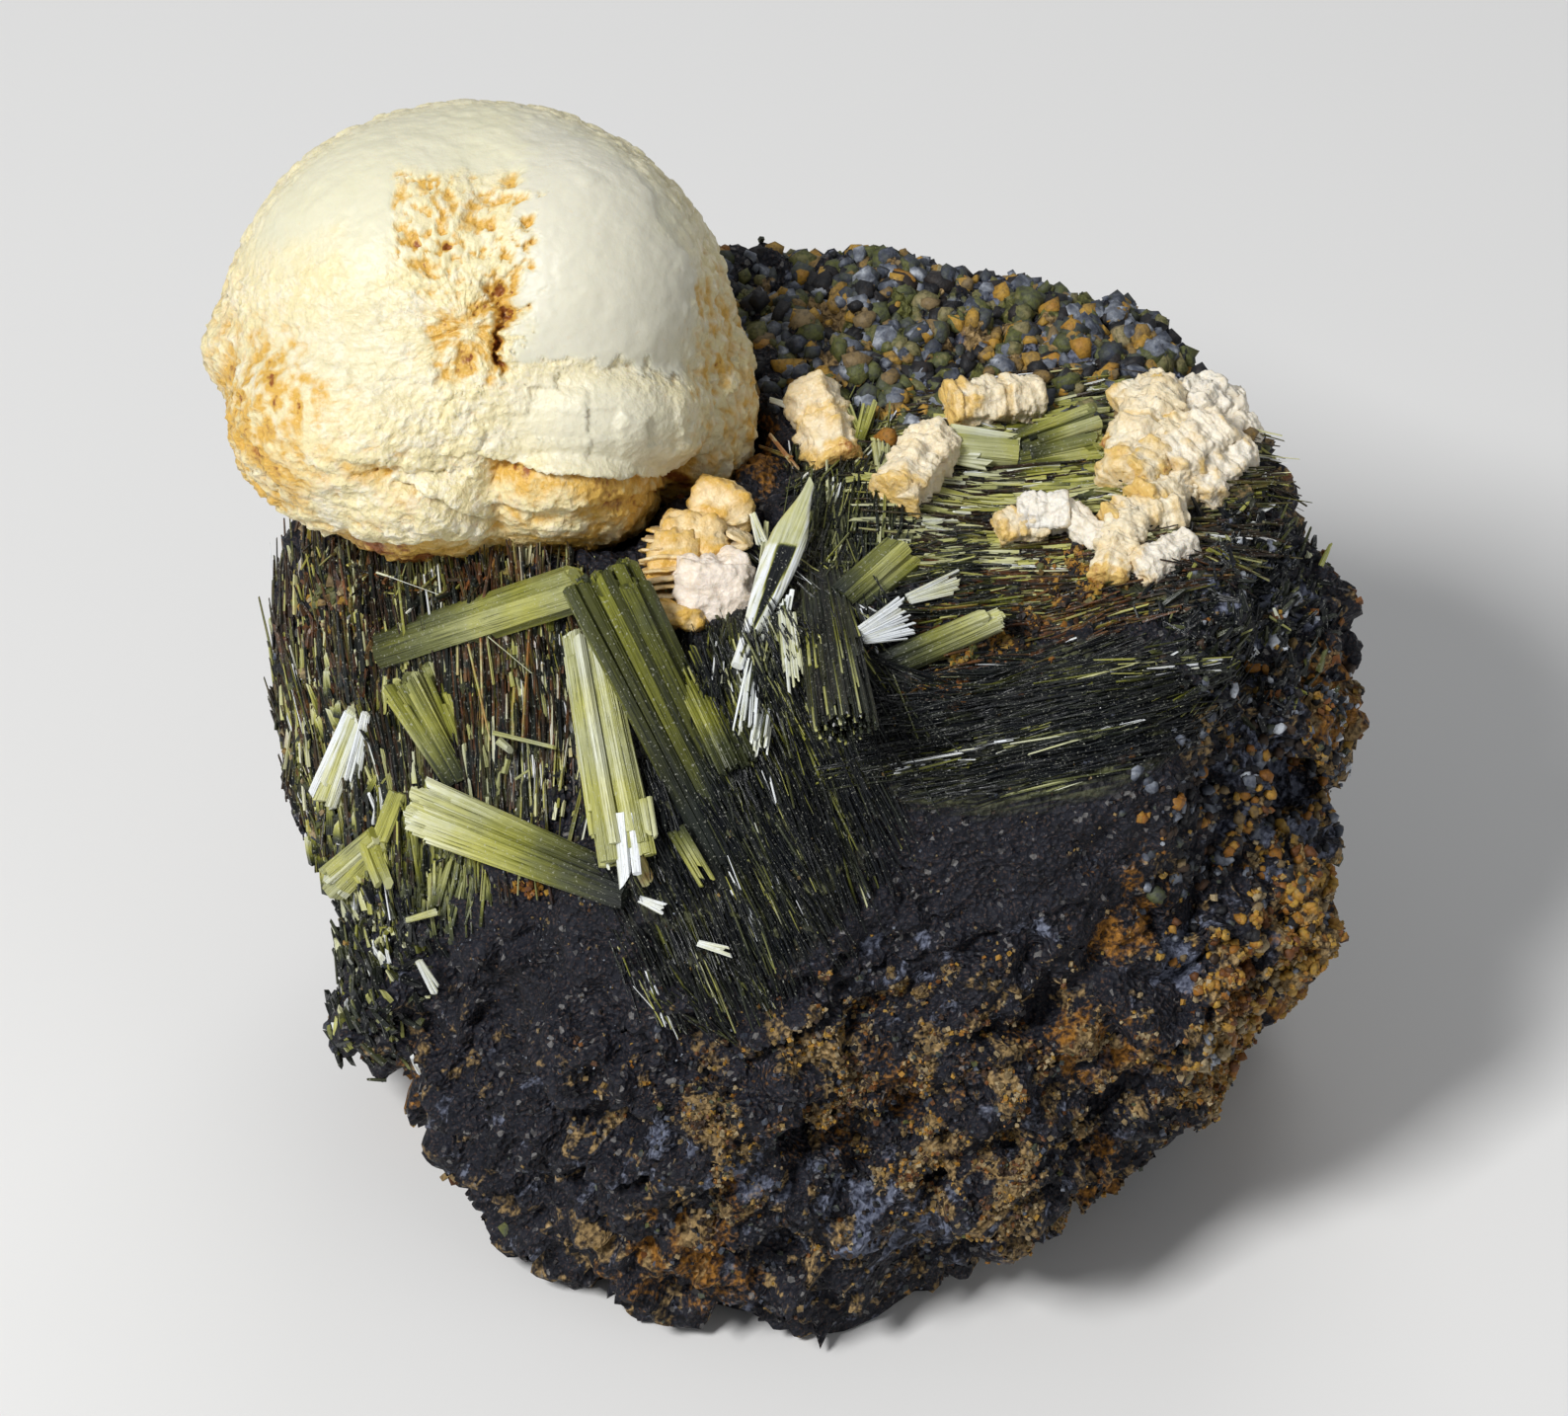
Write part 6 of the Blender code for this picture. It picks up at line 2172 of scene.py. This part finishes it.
FELT_SHELF = NeedleFelt("felt_shelf", (
    FeltZone(Patch(11.0, 8.6, 6.8, 4.2), 5.0, 3600, Mineral.FELT, (1.2, 4.0), (0.06, 0.16),
             spread=3.5, lift=(0.0, 5.0), both_ways=True, rust=0.1),
    FeltZone(Patch(9.8, 8.4, 5.4, 3.2), 5.0, 900, Mineral.YELLOW, (0.8, 3.0), (0.08, 0.3),
             spread=4.0, lift=(0.0, 5.0), both_ways=True),
    FeltZone(Patch(12.0, 10.4, 2.6, 2.2), 4.0, 220, Mineral.OLIVE, (1.6, 4.0), (0.2, 0.5),
             spread=4.0, lift=(0.0, 4.0), both_ways=True),
    FeltZone(Patch(8.4, 8.0, 3.6, 2.4), 6.0, 200, Mineral.MILKY, (0.8, 2.4), (0.08, 0.24),
             spread=5.0, lift=(0.0, 5.0), both_ways=True),
    FeltZone(Patch(10.6, 4.6, 6.4, 2.0, 14.0), 14.0, 1000, Mineral.RUSTY_FELT, (0.8, 2.4),
             (0.06, 0.16), spread=8.0, both_ways=True, rust=0.4),
    FeltZone(Patch(17.6, 4.0, 3.4, 4.4), 60.0, 1500, Mineral.DARK_FELT, (0.4, 1.4), (0.12, 0.36),
             spread=60.0, lift=(5.0, 50.0)),
    FeltZone(Patch(6.0, 4.8, 3.0, 1.6), 14.0, 600, Mineral.FELT, spread=8.0),
), 33)

# In the grain tables below, tones from 0.97 up give bluish-white grains, partly painted glints
CRUST = Crumbs("crust", (
    CrumbZone(Patch(5.0, -15.0, 11.0, 7.0), 8200, (0.06, 0.22),
              (0.0, 0.14, 0.6, 0.46, 0.74, 0.6, 0.3, 0.14), "gold"),
    CrumbZone(Patch(19.0, -10.8, 4.6, 6.4), 2600, (0.08, 0.28),
              (0.3, 0.42, 0.5, 0.5, 0.74), "gold"),
    CrumbZone(Patch(10.4, 4.2, 3.8, 1.8, 24.0), 2300, (0.1, 0.28),
              (0.0, 0.14, 0.46, 0.5, 0.86), "gold"),
    CrumbZone(Patch(7.0, 0.8, 3.4, 1.3, 16.0), 420, (0.1, 0.22), (0.14, 0.3, 0.34, 0.5), "rust"),
    CrumbZone(Patch(21.0, 0.0, 2.2, 4.4), 500, (0.14, 0.34), (0.3, 0.5, 0.6, 1.0, 0.94), "gold"),
    CrumbZone(Patch(-17.8, 4.0, 1.6, 1.8), 260, (0.16, 0.46), (0.3, 0.5, 0.74, 0.6, 0.86)),
    CrumbZone(Patch(-10.2, -7.1, 0.7, 0.4), 60, (0.12, 0.3), (0.3, 0.42, 0.5, 0.5)),
), 41)

GRIT = Crumbs("grit", (
    CrumbZone(Patch(4.0, -18.0, 11.0, 6.0), 2400, (0.08, 0.26),
              (0.0, 0.0, 0.94, 0.0, 0.14, 0.6, 0.94)),
    CrumbZone(Patch(-7.0, -11.0, 7.6, 5.0), 1500, (0.03, 0.09), (0.0, 0.0, 0.14, 0.14, 0.6, 0.97)),
    CrumbZone(Patch(6.0, -5.0, 13.0, 6.0), 1700, (0.04, 0.14), (0.0, 0.0, 0.14, 0.94, 0.6)),
    CrumbZone(Patch(-18.0, -2.0, 2.6, 9.0), 800, (0.12, 0.36), (0.0, 0.86, 0.94, 0.6, 0.74)),
    CrumbZone(Patch(0.0, 0.0, 30.0, 30.0), 2400, (0.14, 0.5),
              (0.0, 0.14, 0.3, 0.86, 0.94, 0.6), back=True),
), 42)

LUMPS = Crumbs("lumps", (
    CrumbZone(Patch(7.4, 14.8, 11.0, 3.6, -8.0), 2500, (0.3, 0.92),
              (0.0, 0.94, 0.96, 0.86, 0.6, 0.5, 0.965, 0.94, 0.86)),
    CrumbZone(Patch(18.4, -3.6, 4.2, 5.6), 1200, (0.16, 0.5),
              (0.0, 0.0, 0.94, 0.96, 0.14, 0.42, 0.6)),
    # Bluish-white grains along the right edge stand for its glints: painted glints
    CrumbZone(Patch(17.9, 3.2, 2.0, 4.4), 90, (0.2, 0.6), (1.0, 0.97, 0.97)),
    CrumbZone(Patch(19.6, -9.0, 3.6, 4.6), 1300, (0.14, 0.46),
              (0.3, 0.42, 0.5, 0.46, 0.5, 0.14, 0.74), "gold"),
    CrumbZone(Patch(17.1, -13.6, 1.5, 1.0, 40.0), 320, (0.2, 0.5), (0.5, 0.74, 0.74, 0.97, 0.74)),
), 43, rounded=True, uneven=0.2, sunk=0.36)


def main() -> None:
    """Builds the specimen piece by piece, then the studio round it."""
    logging.basicConfig(level=logging.INFO, format="%(message)s")
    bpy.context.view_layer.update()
    rock_finish = RockFinish().material()
    crystal_finish = CrystalFinish().material()
    crumb_finish = CrumbFinish().material()
    cream = PrehniteFinish().material()
    gold = PrehniteFinish(
        "gold_prehnite", milk=(0.84, 0.7, 0.54), cream=(0.82, 0.65, 0.38), white=(0.82, 0.73, 0.68)
    ).material()
    pale = PrehniteFinish(
        "pale_prehnite", milk=(0.8, 0.72, 0.58), cream=(0.79, 0.67, 0.46), white=(0.8, 0.79, 0.78),
        ochre=(0.7, 0.47, 0.15),
    ).material()

    ground = Ground(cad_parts["matrix"])
    blade = PaleBlade()
    axes = [spray.axis(ground) for spray in SPRAYS] + [blade.axis(ground)]
    radii = np.array([0.5 * spray.thickness + 0.18 for spray in SPRAYS] + [0.55])
    room = Room(np.array([start for start, _ in axes]), np.array([end for _, end in axes]), radii)
    surface, normals = MatrixRock().build(rock_finish, room)
    skin = Skin.of(surface, normals, room)
    for felt in (FELT_LEFT, FELT_CENTRE, FELT_SHELF):
        felt.build(skin, crystal_finish)
    for crumbs in (CRUST, GRIT, LUMPS):
        crumbs.build(skin, crumb_finish)
    for number, spray in enumerate(SPRAYS):
        spray.build(ground, crystal_finish, SPRAY_SEED + number)
    blade.build(ground, crystal_finish)
    SINGLES.build(ground, crystal_finish)
    PrehniteBall().build(cream)
    Rosette().build(ground, gold)
    for number, group in enumerate(BARRELS):
        group.build(ground, pale, BARREL_SEED + number)
    Studio().build()


if __name__ == "__main__":
    main()
